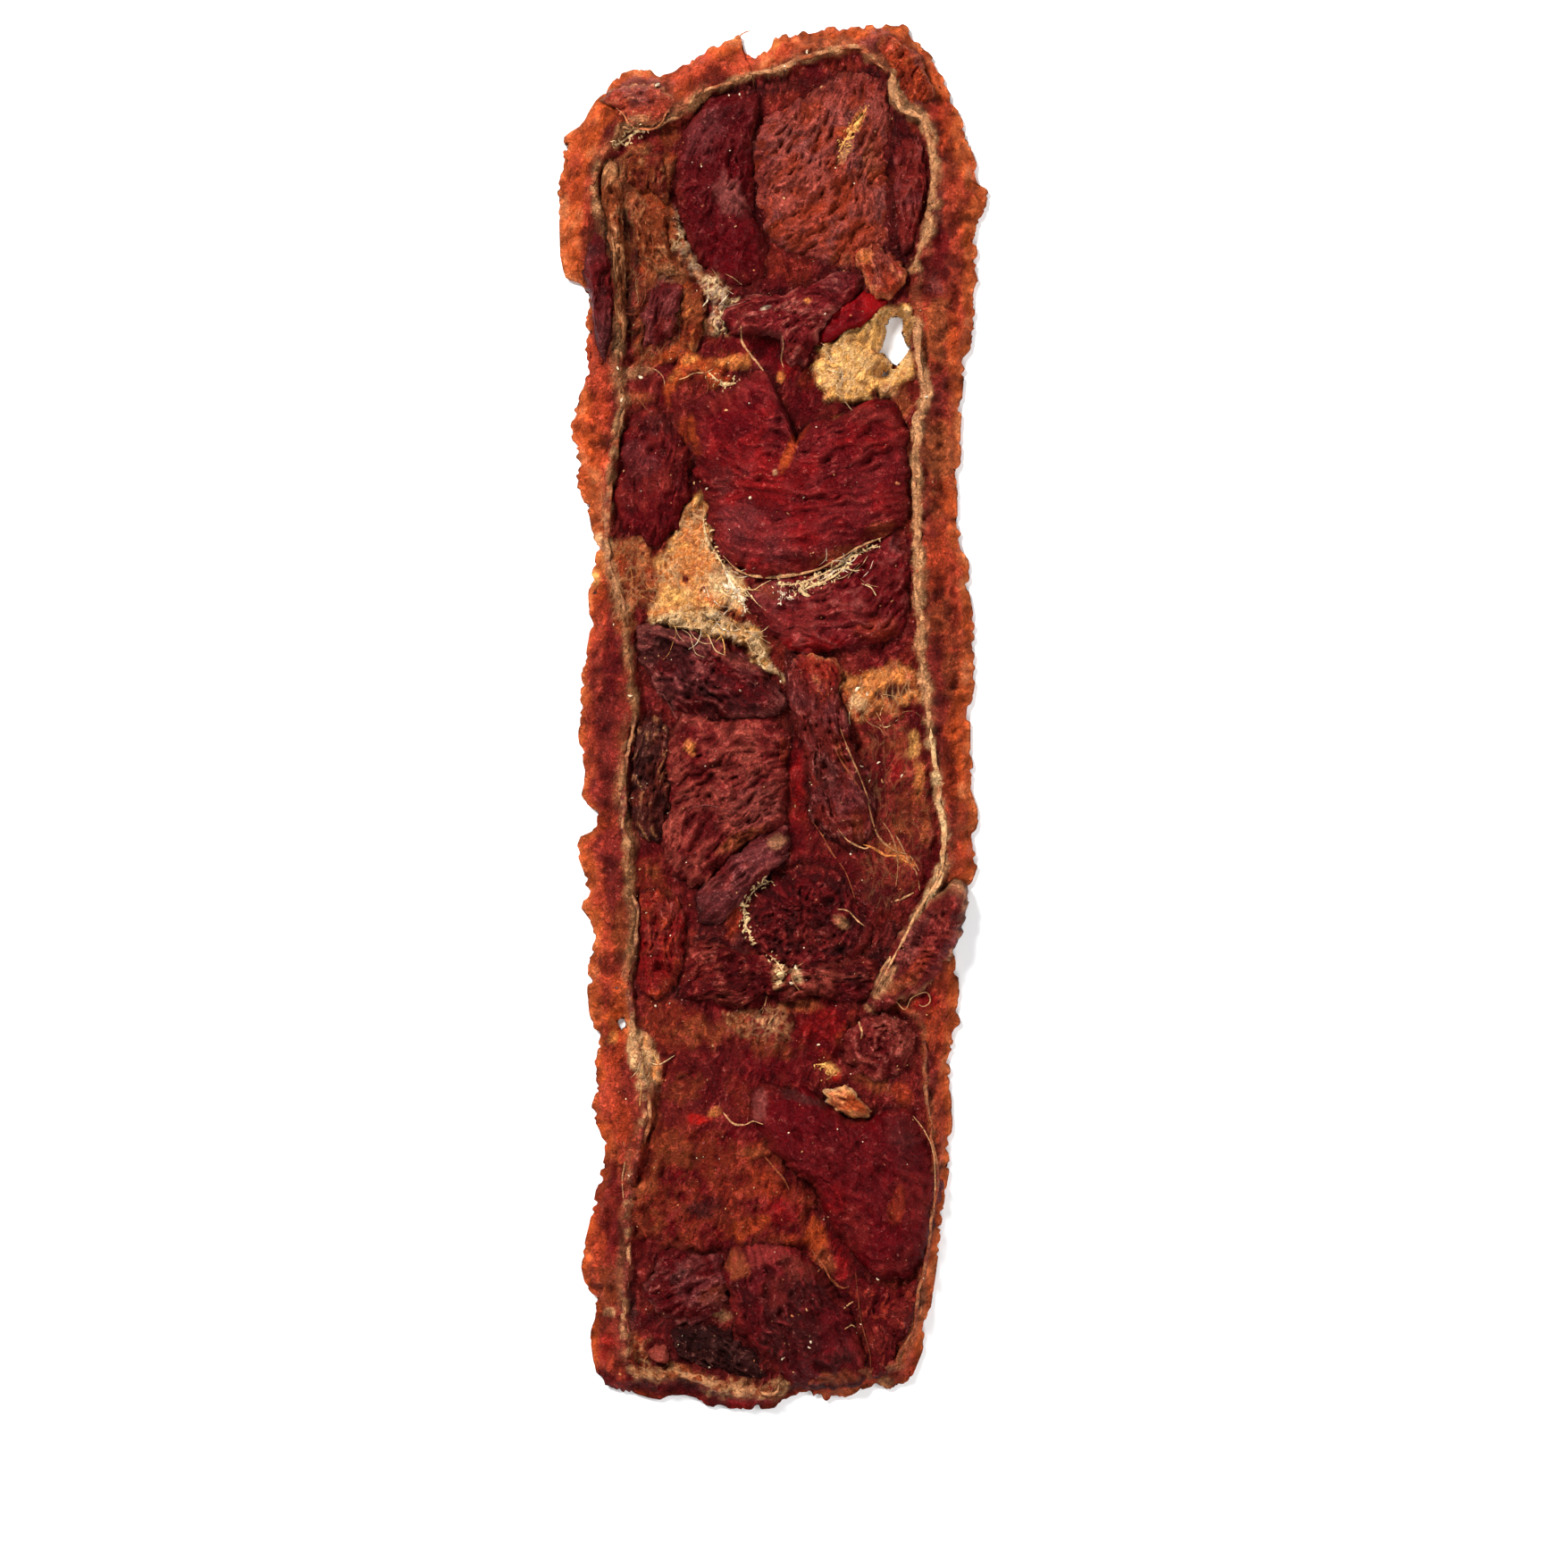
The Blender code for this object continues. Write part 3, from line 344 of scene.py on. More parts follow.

# Uneven stains on the border and the recess, with a few painted shadows: place, half sizes, turn,
# paint and strength
BED_STAINS_AND_SHADOWS = [
    (-12.6, 62.4, 3.2, 1.5, 10, "mauve", 0.8), (-8, 64.2, 3, 1.4, 30, "brick", 0.8),
    (-3, 65.2, 2.4, 1, 5, "brick", 0.8), (-16.2, 60.6, 1.6, 1, 50, "deep_amber", 0.7),
    (-19.8, 52.6, 1, 2.4, 0, "rust", 0.7), (-19.6, 55.6, 0.8, 1.2, 0, "brick", 0.6),
    (-0.6, 67, 0.9, 0.7, 0, "honey", 0.9), (1.6, 66.6, 1.8, 0.8, 10, "brick", 0.7),
    (6, 66.9, 3.4, 0.9, 3, "warm_brown", 0.8), (10.6, 67.4, 1.6, 1, 0, "mauve", 0.7),
    (13.4, 64.8, 1.6, 2.4, 30, "rust", 0.8), (14, 61.8, 1.2, 1.6, 20, "mauve", 0.7),
    (16.6, 60.6, 1, 1.6, 20, "blood", 0.6), (17.2, 57, 0.9, 2.6, 12, "rust", 0.8),
    (17.6, 51, 0.9, 3, 0, "brick", 0.8), (16.4, 50.4, 0.8, 1.6, 0, "charcoal", 0.6),
    (16.8, 46.4, 1.2, 2.4, 0, "maroon", 0.8), (18.2, 45.6, 0.8, 2.2, 0, "brick", 0.8),
    (15.2, 43.8, 1, 1, 0, "near_black", 0.6), (16, 42.6, 0.8, 0.8, 0, "mauve", 0.6),
    (16.4, 38, 1.3, 3.4, 0, "warm_brown", 0.9), (17.9, 37, 0.7, 3.4, 0, "deep_amber", 0.8),
    (16.6, 32, 1.2, 2.6, 0, "plum", 0.9), (16.8, 26, 1.5, 3.6, 0, "warm_brown", 0.95),
    (17.4, 21.6, 1, 2.4, 0, "deep_amber", 0.7), (16, 20.4, 0.9, 1.4, 0, "brown", 0.8),
    (16.4, 15.4, 1.1, 3.6, 0, "rust", 0.9), (16.8, 9.6, 1.2, 2, 0, "brown", 0.8),
    (16.2, 6, 0.9, 1.8, 0, "plum", 0.9), (17.6, 3.8, 0.8, 2.2, 0, "brown", 0.8),
    (16.8, 0.4, 1, 2.2, 0, "plum", 0.8), (18.2, -1.4, 0.9, 3, 0, "deep_amber", 0.7),
    (17.6, -6.4, 0.9, 3.4, 5, "rust", 0.9), (18.4, -11, 0.9, 2.4, 5, "plum", 0.7),
    (18.8, -14.4, 0.8, 1.6, 0, "brick", 0.7), (16.4, -26.4, 1, 2.6, 0, "brick", 0.9),
    (15.8, -31, 1, 2.6, 0, "rust", 0.9), (15, -28.4, 1.3, 1, 0, "blood", 0.9),
    (15.6, -35.6, 0.9, 2.6, 0, "plum", 0.9), (16.4, -41, 0.5, 3.4, 0, "rust", 0.8),
    (16.6, -47.6, 0.5, 3, 0, "deep_amber", 0.8), (-18, 47.4, 0.7, 1.6, 0, "near_black", 0.6),
    (-17.6, 37.6, 0.8, 2.2, 0, "maroon", 0.8), (-18.2, 35.4, 0.6, 2.4, 0, "rust", 0.8),
    (-17.2, 33.4, 0.9, 2.4, 0, "brick", 0.8), (-17, 30, 1, 2, 0, "rust", 0.9),
    (-17.6, 26.8, 1, 2.2, 0, "deep_amber", 0.6), (-17.6, 20.4, 0.7, 1.8, 0, "warm_brown", 0.7),
    (-17, 15.6, 0.8, 1.4, 0, "honey", 0.6), (-17.8, 13.6, 0.7, 1, 0, "straw", 0.7),
    (-17.4, 10.6, 0.9, 2.2, 0, "rust", 0.8), (-17.4, 6.4, 1.2, 3.4, 0, "brick", 0.8),
    (-17.2, 3.4, 1.1, 3.2, 0, "plum", 0.7), (-16, 6, 0.8, 4.6, 0, "maroon", 0.8),
    (-16.8, -1.6, 1.3, 3.4, 0, "plum", 0.9), (-18.3, -3.6, 0.7, 2.6, 0, "brick", 0.7),
    (-17, -6.6, 1.2, 2.6, 0, "plum", 0.9), (-17, -10.6, 1, 1.2, 0, "rust", 0.8),
    (-16.4, -13.6, 1.2, 1.8, 0, "plum", 0.95), (-16, -17, 0.9, 2.8, 0, "plum", 0.95),
    (-15.2, -21.6, 0.7, 3, 0, "brown", 0.9), (-15.6, -28.4, 0.9, 2.4, 0, "deep_amber", 0.7),
    (-15.8, -33.6, 1, 2.2, 0, "rust", 0.9), (-16, -32, 0.6, 0.7, 0, "honey", 0.8),
    (-16.4, -37.8, 1, 2, 0, "brick", 0.9), (-15.2, -40.4, 1.2, 2.2, 0, "rust", 0.9),
    (-16, -44, 0.8, 1.4, 0, "brown", 0.8), (-16.4, -49, 1.2, 4, 0, "maroon", 0.75),
    (-17.6, -52.6, 0.9, 1.8, 0, "rust", 0.8), (-16.6, -57, 1, 2, 0, "brown", 0.8),
    (-16.2, -59.4, 0.6, 0.5, 0, "tan", 0.8), (-16.8, -62.6, 0.8, 1.4, 0, "blood", 0.7),
    (-15.6, -65, 0.9, 1, 0, "brick", 0.8), (-7.6, -67.2, 4, 0.7, -4, "maroon", 0.8),
    (-2.4, -68.4, 2.8, 0.5, 0, "blood", 0.75), (6.8, -67.6, 3.4, 0.6, 8, "warm_brown", 0.8),
    # The near_black spots on this line and the next two, inside the top lip, paint the shadow in the
    # gap under it
    (11.2, -66.6, 0.9, 0.6, 20, "tan", 0.7), (-3, 62.4, 3, 0.7, 10, "near_black", 0.8),
    (3, 62.8, 4, 0.8, 8, "near_black", 0.6), (9.6, 63.8, 1.4, 0.8, 0, "near_black", 0.7),
    (12.6, 58.8, 0.9, 1.2, 30, "near_black", 0.8), (13.4, 57, 1.2, 1.4, 0, "near_black", 0.5),
    (-14.6, 60, 1.6, 0.8, -20, "dark_plum", 0.9), (-16, 58.2, 1, 0.8, 0, "plum", 0.8),
    (-10.4, 57.6, 1, 1.2, 0, "brown", 0.9), (-14.6, 48.6, 0.6, 1.6, 10, "near_black", 0.8),
    (-13.6, 45.4, 0.5, 1.8, 0, "near_black", 0.8), (-14.2, 40.6, 0.7, 4, 0, "near_black", 0.85),
    (-12.6, 41, 0.8, 2.6, 8, "dark_plum", 0.8), (-11.6, 39.6, 0.5, 1.2, 0, "olive_tan", 0.5),
    (-10.8, 42.4, 1.2, 1.4, 0, "grey_plum", 0.9), (-11.4, 37.4, 1.6, 1.4, 0, "plum", 0.8),
    (-13.4, 34.2, 1.6, 0.6, 0, "tan", 0.6), (-9, 40.4, 0.9, 1.6, 0, "rust", 0.8),
    (-9.8, 38.4, 0.9, 1.2, 0, "dark_plum", 0.7), (-12.8, 33, 2, 0.9, 0, "plum", 0.8),
    (-13.6, 31.6, 1.6, 0.6, 0, "warm_brown", 0.7), (-8.4, 48.2, 0.5, 0.6, 0, "near_black", 0.7),
    (-5.6, 41.2, 0.6, 0.4, 0, "near_black", 0.7), (-5.4, 38.4, 0.4, 0.5, 0, "near_black", 0.8),
    # The two maroon spots on this line, below the curled flap's standing edge, paint its shadow
    (-3, 36.9, 3.2, 0.8, 0, "maroon", 0.95), (0.2, 36, 1.4, 1.6, 0, "maroon", 0.9),
    (1.4, 34.6, 1, 1.2, 0, "blood", 0.8), (-3.4, 35, 1.4, 0.7, 0, "honey", 0.7),
    (0.7, 33.6, 0.35, 0.6, 0, "honey", 0.8), (3.4, 33.4, 0.8, 1.4, 0, "rust", 0.8),
    (2.6, 31.4, 1.6, 1.6, 0, "maroon", 0.7), (5.6, 30.6, 1, 1, 0, "plum", 0.7),
    (7, 29.4, 1.2, 0.5, 0, "honey", 0.6), (13, 31, 0.8, 2, 0, "warm_brown", 0.8),
    (13.2, 27, 0.5, 2.4, 0, "brown", 0.8), (11.4, 32.2, 1.2, 0.5, 0, "olive_tan", 0.7),
    (-17.6, 17.6, 0.5, 0.7, 0, "cream", 0.5), (-8.7, 13.6, 0.35, 0.45, 20, "maroon", 0.95),
    (-9.1, 14.3, 0.2, 0.3, 0, "maroon", 0.9), (-14.2, 12.7, 0.6, 0.25, 0, "maroon", 0.8),
    (-15.4, 9.6, 0.7, 1.2, 0, "brown", 0.8), (-4.6, 9.7, 0.8, 0.5, -20, "brown", 0.9),
    (1.2, 8.4, 1.4, 0.9, 0, "warm_brown", 0.7), (11.8, 2.1, 0.6, 0.9, 0, "near_black", 0.95),
    (10.5, 2.2, 0.4, 0.7, 0, "near_black", 0.9), (12.8, 2.7, 0.35, 0.7, 0, "near_black", 0.8),
    (8.4, 1.3, 0.9, 0.8, 0, "cream", 0.6), (11.4, 0.6, 1.6, 0.9, 0, "brown", 0.7),
    (12.6, -3, 1.2, 1, 0, "brown", 0.7), (14, -3.2, 0.6, 1.4, 0, "straw", 0.7),
    (11, -5.6, 1.6, 2, 0, "dark_plum", 0.8), (14.6, -6.4, 0.6, 2, 0, "honey", 0.7),
    (12.2, -5.4, 0.8, 1.6, 0, "blood", 0.6), (15.2, -10.6, 0.5, 2.4, 0, "warm_brown", 0.8),
    (-4.8, 12.8, 1.5, 2, 20, "cream", 0.55), (-8, 9.4, 3.4, 0.9, -6, "cream", 0.5),
    (13.6, -8.6, 1.2, 1.8, 0, "brown", 0.6), (13, -10.8, 1, 1.4, 0, "warm_brown", 0.6),
    (12.4, -13.8, 1.8, 0.5, -32, "honey", 0.6), (10.6, -17.6, 1.4, 1.4, 0, "near_black", 0.7),
    (11.6, -21.4, 1.4, 1.2, 0, "near_black", 0.8), (11, -24, 1.4, 1.4, 0, "near_black", 0.9),
    (2.4, -6.2, 1.1, 4, -3, "blood", 0.75), (2.6, -2.4, 0.5, 1.8, -10, "maroon", 0.8),
    (2.4, -12.4, 1, 2.2, 0, "maroon", 0.8), (4.6, -14.6, 1.6, 1.6, 0, "dark_plum", 0.8),
    (-12.4, -1.4, 1.4, 1.6, 0, "near_black", 0.6), (-12.6, -6.6, 1.8, 3, 0, "near_black", 0.6),
    (-12.4, -11, 1.8, 1.4, 0, "plum", 0.7), (-15, -6.6, 0.35, 0.8, 0, "tan", 0.7),
    (-13.8, -13, 0.6, 1.4, 0, "olive_tan", 0.6), (-8.4, -2.8, 0.7, 0.8, 0, "honey", 0.8),
    (-9, -15.6, 1.2, 1, 0, "near_black", 0.6), (-7.4, -18.6, 1.6, 2.6, 0, "dark_plum", 0.9),
    (-6, -22.6, 1.6, 2.4, 0, "near_black", 0.6), (-4, -19.4, 1, 2.4, 0, "rust", 0.6),
    (-3.4, -23, 1.2, 1.4, 0, "charcoal", 0.6), (-3.6, -28.5, 3.4, 0.8, -3, "maroon", 0.95),
    (-9.4, -27.2, 1.6, 1, 0, "near_black", 0.6), (9.6, -29, 0.9, 0.4, -20, "tan", 0.6),
    (-6.6, -34.6, 3, 2.6, 0, "dark_plum", 0.85), (-1, -35.4, 2.8, 2, 0, "maroon", 0.9),
    (2.8, -35.6, 1.4, 1.6, 0, "maroon", 0.8), (5.8, -35.2, 0.9, 0.5, -30, "straw", 0.7),
    (6.4, -36, 0.6, 0.5, 0, "scarlet", 0.8), (10.4, -36.6, 1.8, 0.8, -20, "warm_brown", 0.7),
    (12.8, -37.6, 1, 1, 0, "rust", 0.8), (-9.6, -38.6, 1.4, 1.8, 0, "plum", 0.8),
    (-6.4, -38.6, 1.8, 1.4, 0, "dark_plum", 0.8), (-7.4, -40.2, 1.2, 0.5, -5, "scarlet", 0.9),
    (-3.2, -41.3, 1.9, 1.3, 0, "maroon", 0.95), (-5.8, -39.5, 0.8, 0.4, 20, "honey", 0.7),
    (-12, -39, 0.7, 2, 0, "warm_brown", 0.8), (-13, -46.8, 0.8, 0.6, 0, "warm_brown", 0.8),
    (-14.2, -58.6, 0.8, 2.2, 0, "charcoal", 0.8), (-6.8, -48.9, 1.7, 1, 10, "near_black", 0.9),
    (-9, -44, 1.8, 1.2, 0, "brown", 0.7), (-2.2, -43.4, 1.4, 0.6, -10, "warm_brown", 0.7),
    (-1, -46.4, 2.2, 1.2, -30, "rust", 0.7), (0.6, -49.4, 1.8, 1.2, 0, "blood", 0.6),
    (-3, -51, 2.4, 0.9, 20, "deep_amber", 0.6), (1.6, -52.2, 0.9, 0.6, 0, "rust", 0.7),
    (4.4, -52.4, 1.1, 1.7, 20, "deep_amber", 0.95), (5.2, -54.4, 0.7, 1.2, 30, "warm_brown", 0.8),
    (6.8, -52.8, 0.9, 2.8, 5, "blood", 0.8), (6.2, -57.2, 0.7, 1.2, 20, "maroon", 0.8),
    (12.2, -51.6, 0.6, 1.2, -20, "rust", 0.8), (13.4, -53.4, 0.9, 0.8, 30, "tan", 0.5),
    (-3.4, -13.4, 3.4, 0.9, 30, "warm_brown", 0.9), (-7.5, -31.5, 3, 1.4, 0, "warm_brown", 0.5),
    (0, -33.2, 2.2, 1, 0, "brown", 0.7), (4.6, -30.8, 2.2, 1.8, 0, "scarlet", 0.3),
    (2.6, -28.9, 1.8, 0.7, 0, "warm_brown", 0.8), (-9, -37, 2, 1.2, 20, "brown", 0.6),
    (-10.6, -42.6, 2, 1.4, 0, "brown", 0.6), (12.4, -28.6, 2, 0.9, 0, "rust", 0.7),
    (-8.6, 28.6, 0.8, 2, 12, "rust", 0.9), (-12.8, -56.4, 0.8, 2.6, 0, "plum", 0.7),
    (-12.6, -60.6, 1.2, 0.8, 0, "near_black", 0.7), (-11.6, -61.4, 2, 0.7, 0, "dark_plum", 0.7),
    (-5.4, -59.4, 1, 0.7, -40, "tan", 0.5),
]

# Folds of muscle: top height, paints of its hollows and crests (painted shade in the hollows, the
# hollow paint also in random patches, and painted highlight on the crests), heading and height of
# the edge that stands up, the fibres' course, paints of body, patches and edge, painted sheen, gloss
# and ribbing, and the outline
FOLDS = {
    "dark_oval": (
        3.3, ("maroon", "grey_plum"), 150, 0.3, ("along", 62, 0.25),
        "maroon_dark", "dark_plum", "plum", (0.75, 0.5, 0.4), [
        (-9.6, 54.5), (-8.9, 57.6), (-7.8, 59.4), (-6.4, 61), (-3.9, 61.7), (-1.2, 61.3),
        (-2.2, 57.5), (-1.9, 53.5), (-1.7, 49.5), (-0.5, 46.4), (-1.4, 43.2), (-4, 42.8),
        (-6.6, 44.6), (-8.2, 46.6), (-9.4, 49.6)]),
    "upper_muscle": (
        3, ("rust", "rose_brown"), 150, 0.2, ("along", 60, -0.3),
        "rose_brown", "mauve", "plum_rose", (0.55, 0.25, 0.8), [
        (-2, 57), (-0.6, 59), (2, 60.6), (4.4, 62.4), (7, 63.8), (9.6, 63.9), (11.4, 62.6),
        (11.8, 58.4), (11.2, 54), (11.9, 50), (12.2, 46.5), (9.5, 44.6), (6, 44.4), (3, 45.8),
        (0.4, 47.4), (-1.5, 50), (-2.2, 54)]),
    "right_plum": (
        2.6, ("maroon", "mauve"), 0, 0.2, ("along", 95, 0.2),
        "plum", "grey_plum", "dark_plum", (0.6, 0.45, 0.5), [
        (12.2, 57.4), (13.6, 58), (15, 57), (15.2, 53), (14.9, 50), (13.8, 47), (13, 45.4),
        (12.3, 49), (11.7, 53.6)]),
    "left_lens": (
        3.1, ("near_black", "grey_plum"), 0, 0.3, ("along", 95, 0.1),
        "dark_plum", "grey_plum", "near_black", (0.7, 0.5, 0.4), [
        (-18.6, 48.2), (-17.6, 49.4), (-16.7, 48.4), (-16, 45), (-15.8, 40), (-16, 36.4), (-16.8, 35),
        (-17.6, 37.5), (-18.2, 41), (-18.8, 44.6)]),
    "tan_fold": (
        3.1, ("brown", "tan"), 190, 0.3, ("along", 97, 0.2),
        "warm_brown", "olive_tan", "tan", (0.5, 0.2, 0.8), [
        (-17.2, 55), (-15.8, 55.8), (-15, 53.4), (-15, 50), (-14.8, 46.6), (-14.6, 41), (-14.9, 35.6),
        (-15.7, 35.4), (-15.6, 41), (-16, 45.6), (-17, 50.4)]),
    "brown_fold": (
        3.1, ("dark_plum", "olive_tan"), 180, 0.3, ("along", 80, 0.2),
        "brown", "plum", "warm_brown", (0.5, 0.2, 0.9), [
        (-14.6, 55.4), (-12.6, 56.2), (-10.8, 55.6), (-10.2, 53), (-10.4, 50.6), (-11.8, 51.6),
        (-13.4, 52), (-14.6, 53)]),
    "orange_fold": (
        2.9, ("brown", "olive_tan"), 30, 0.3, ("along", 105, 0.2),
        "brown", "olive_tan", "warm_brown", (0.4, 0.2, 0.8), [
        (-14.4, 50.4), (-12.6, 51), (-10.6, 50), (-10.4, 47.6), (-9.4, 45.4), (-8.4, 43.4),
        (-10.2, 43.6), (-12, 44.4), (-13.4, 45.4), (-14.2, 48)]),
    "purple_lump": (
        3, ("maroon", "mauve"), 90, 0.2, ("along", 70, 0.3),
        "plum", "grey_plum", "mauve", (0.8, 0.3, 0.6), [
        (-12.2, 42.6), (-10.6, 43.8), (-9, 42.6), (-9.2, 40.2), (-9.8, 37.6), (-11.6, 36),
        (-13, 36.4), (-13, 39.6)]),
    "orange_bump": (
        2.9, ("rust_dark", "honey"), 60, 0.2, ("along", 70, 0.3),
        "brown", "warm_brown", "olive_tan", (0.4, 0.3, 0.6), [
        (-9, 42), (-7.6, 42.4), (-6.6, 40.8), (-6.8, 38.2), (-7.8, 36.4), (-9.2, 37), (-9.2, 39.6)]),
    "curled_flap": (
        3.9, ("maroon", "rose"), 270, 0.5, ("along", 22, 0.3),
        "plum_red", "plum_rose", "mauve", (0.7, 0.3, 0.6), [
        (-5, 39.6), (-4.4, 41), (-2.6, 42), (-0.4, 42), (1.6, 42.4), (3.6, 43), (5.6, 44),
        (7.4, 44.4), (8.8, 43.2), (8, 41.8), (6.6, 40.2), (5, 38.6), (3.9, 36.9), (3.4, 35.4),
        (1.9, 35.1), (1, 36.2), (0.8, 37.7), (-1.2, 37.9), (-3.2, 38.1), (-4.4, 38.4)]),
    "glassy_lens": (
        2.8, ("maroon", "blood"), 130, 0.3, ("along", 33, 0.1),
        "blood", "maroon", "dark_plum", (0.1, 0.95, 0.1), [
        (4.2, 36.6), (5.4, 36.9), (6.8, 37.7), (8.4, 38.4), (9.9, 39.1), (11.6, 41), (10.4, 41.9),
        (8.8, 42), (7.2, 41), (5.6, 39.4), (4.4, 38)]),
    "ragged_flap": (
        3.5, ("rust", "peach"), 240, 0.4, ("along", 110, 0.3),
        "rose_brown", "brick", "peach", (0.8, 0.2, 1), [
        (10.2, 41.3), (9.4, 43), (8.2, 44.8), (8.6, 46.4), (10.4, 47), (12.2, 46), (13.3, 44.4),
        (12.9, 42.6), (11.6, 41.5)]),
    "plum_oval": (
        3.3, ("maroon_dark", "plum"), 0, 0.3, ("along", 78, 0.5),
        "dark_plum", "plum", "maroon", (0.8, 0.6, 0.45), [
        (-14.2, 30), (-12.4, 30.8), (-10.4, 30), (-9, 27.8), (-8.2, 24.6), (-8.4, 21), (-9.6, 18.4),
        (-11.8, 17.2), (-14.4, 17.8), (-15.8, 20.2), (-15.9, 23.6), (-15.2, 27.2)]),
    "great_bean": (
        4.2, ("maroon", "plum_rose"), 270, 0.5, ("round", 3.5, 40),
        "plum_red", "crimson", "plum", (0.8, 0.5, 0.5), [
        (-8, 27), (-8, 29.6), (-6.8, 31.4), (-4.6, 33), (-2.8, 34.2), (-0.9, 34.4), (0.5, 32.2),
        (1.4, 29.8), (2.1, 27.8), (3, 28.6), (4.8, 29.4), (6.6, 29.2), (8, 30.8), (9.6, 31.6),
        (11.6, 31), (12.8, 28.8), (13.5, 25.6), (13.3, 22.4), (12.6, 19.4), (10.6, 17.8), (8, 16.2),
        (5.6, 15.2), (2.8, 14.4), (0, 14.1), (-2.6, 14.5), (-4.6, 16), (-5.8, 18.2), (-6.6, 20.6),
        (-7.6, 23.6)]),
    "curved_muscle": (
        3.2, ("maroon", "mauve"), 270, 0.4, ("round", 5, 20),
        "plum_red", "plum_rose", "maroon", (0.8, 0.4, 0.55), [
        (-2.6, 12), (-1.2, 13.2), (1, 13.9), (4, 14.2), (7.4, 15.8), (10, 17.4), (12.6, 18.6),
        (13.4, 16), (13.3, 12), (13.3, 8.6), (11.4, 7.6), (9, 7), (5, 6.2), (1.8, 6.4), (0.2, 7.8),
        (-1.6, 9.6)]),
    "near_black_flap": (
        3.8, ("near_black", "mauve"), 65, 0.6, ("along", 152, -0.15),
        "dark_plum", "grey_plum", "mauve", (0.9, 0.35, 0.9), [
        (-13.1, 8.6), (-12, 9), (-10.4, 8.7), (-8, 8.2), (-5.4, 7.2), (-3, 5.9), (-0.8, 4.2),
        (0.7, 2.6), (1, 1.2), (0.2, 0.2), (-3, -0.2), (-6.5, -0.8), (-9.2, 0.4), (-11.2, 2.4),
        (-12.6, 4.4), (-13.4, 6.6)]),
    "pebbly_muscle": (
        3.4, ("maroon", "rose_brown"), 250, 0.3, ("along", 30, 0.6),
        "plum_rose", "rose_brown", "dark_plum", (0.55, 0.3, 0.75), [
        (-9.6, -1), (-8, 0.6), (-5, 0), (-2, 1.2), (0.8, 0.8), (2, -1.8), (1.2, -4.6), (1.6, -7.6),
        (1.2, -10.4), (-0.8, -11.8), (-3.2, -13.4), (-5.4, -15.4), (-7.8, -17), (-9.6, -15.8),
        (-10.8, -12.4), (-10.2, -9), (-11, -4.6)]),
    "mottled_side": (
        2.7, ("near_black", "olive_tan"), 0, 0.2, ("along", 85, 0.3),
        "brown_plum", "charcoal", "near_black", (0.8, 0.2, 0.9), [
        (-13.6, -0.6), (-12, 0.4), (-10.6, -0.8), (-10.2, -4.6), (-10.4, -9), (-11, -12),
        (-13, -12.4), (-14.4, -10), (-14.4, -5)]),
    "long_flap": (
        3.9, ("plum", "mauve"), 170, 0.6, ("along", 106, 0.2),
        "plum", "grey_plum", "near_black", (0.85, 0.25, 0.8), [
        (1.3, 5.8), (2.6, 5.6), (4.8, 5), (6.2, 3), (7.2, 0.4), (8.2, -2.6), (9.4, -5.6),
        (10.2, -8.8), (10.4, -11.4), (9.2, -13.4), (7.2, -13.2), (5.2, -11.8), (3.8, -9.6),
        (3.5, -6.6), (3.1, -3.8), (2.3, -1.2), (1.5, 2)]),
    "rose_edge": (
        3.6, ("blood", "peach"), 0, 0.2, ("along", 110, 0.2),
        "plum_rose", "brick", "peach", (0.8, 0.2, 0.8), [
        (1.4, 6.2), (4, 6.2), (6.4, 5.2), (7, 3.6), (6.2, 1.6), (5.2, 0.2), (4, 1.6), (2.6, 3.2)]),
    "twisted_wing": (
        4, ("dark_plum", "rose_brown"), 150, 0.7, ("along", 152, 0.3),
        "plum_rose", "brown_plum", "tan", (0.7, 0.25, 0.6), [
        (18, -16.4), (19, -16.8), (19.3, -18), (18.9, -20), (18.4, -22), (17.6, -24.2), (16.2, -26.2),
        (14.2, -27.8), (12.2, -28.8), (10.6, -29.4), (9.6, -28.2), (10.4, -25.8), (11.7, -23.6),
        (12.9, -21.6), (14.4, -19.6), (16, -17.7)]),
    "side_muscle": (
        2.9, ("blood", "rust"), 0, 0.2, ("along", 88, 0.2),
        "rust_dark", "plum_rose", "dark_plum", (0.6, 0.25, 0.9), [
        (-13.4, -18), (-11.6, -17.2), (-9.6, -18.2), (-8.9, -21), (-9, -24.4), (-9.6, -27),
        (-11.4, -28.2), (-13.5, -27.2), (-13.9, -23)]),
    "arc_band": (
        3.5, ("dark_plum", "mauve"), 110, 0.5, ("round", 6, -32),
        "grey_plum", "plum_rose", "charcoal", (1, 0.3, 0.6), [
        (1.3, -10.8), (1.8, -12.6), (1, -14.4), (-0.6, -15.8), (-2.4, -17.4), (-3.8, -19.2),
        (-5.4, -20.8), (-7, -20.6), (-7.8, -18.6), (-6.8, -16.6), (-5.2, -14.8), (-3, -13),
        (-0.8, -11.6)]),
    "ringed_muscle": (
        3.3, ("near_black", "plum_rose"), 270, 0.4, ("round", 2.6, -19.2),
        "maroon_dark", "dark_plum", "plum", (0.7, 0.35, 0.7), [
        (-2.4, -18.6), (-1.4, -16.8), (0.6, -15.4), (3, -14.4), (6.2, -15.4), (8.6, -17.6),
        (9.8, -21.2), (8.6, -24.2), (6.4, -25), (3.8, -26.2), (1, -24.8), (-1.2, -23.8),
        (-2.8, -21.2)]),
    "dark_slab": (
        3.1, ("maroon_dark", "rose_brown"), 270, 0.4, ("along", 5, 0.4),
        "dark_plum", "brown_plum", "plum", (0.7, 0.3, 0.75), [
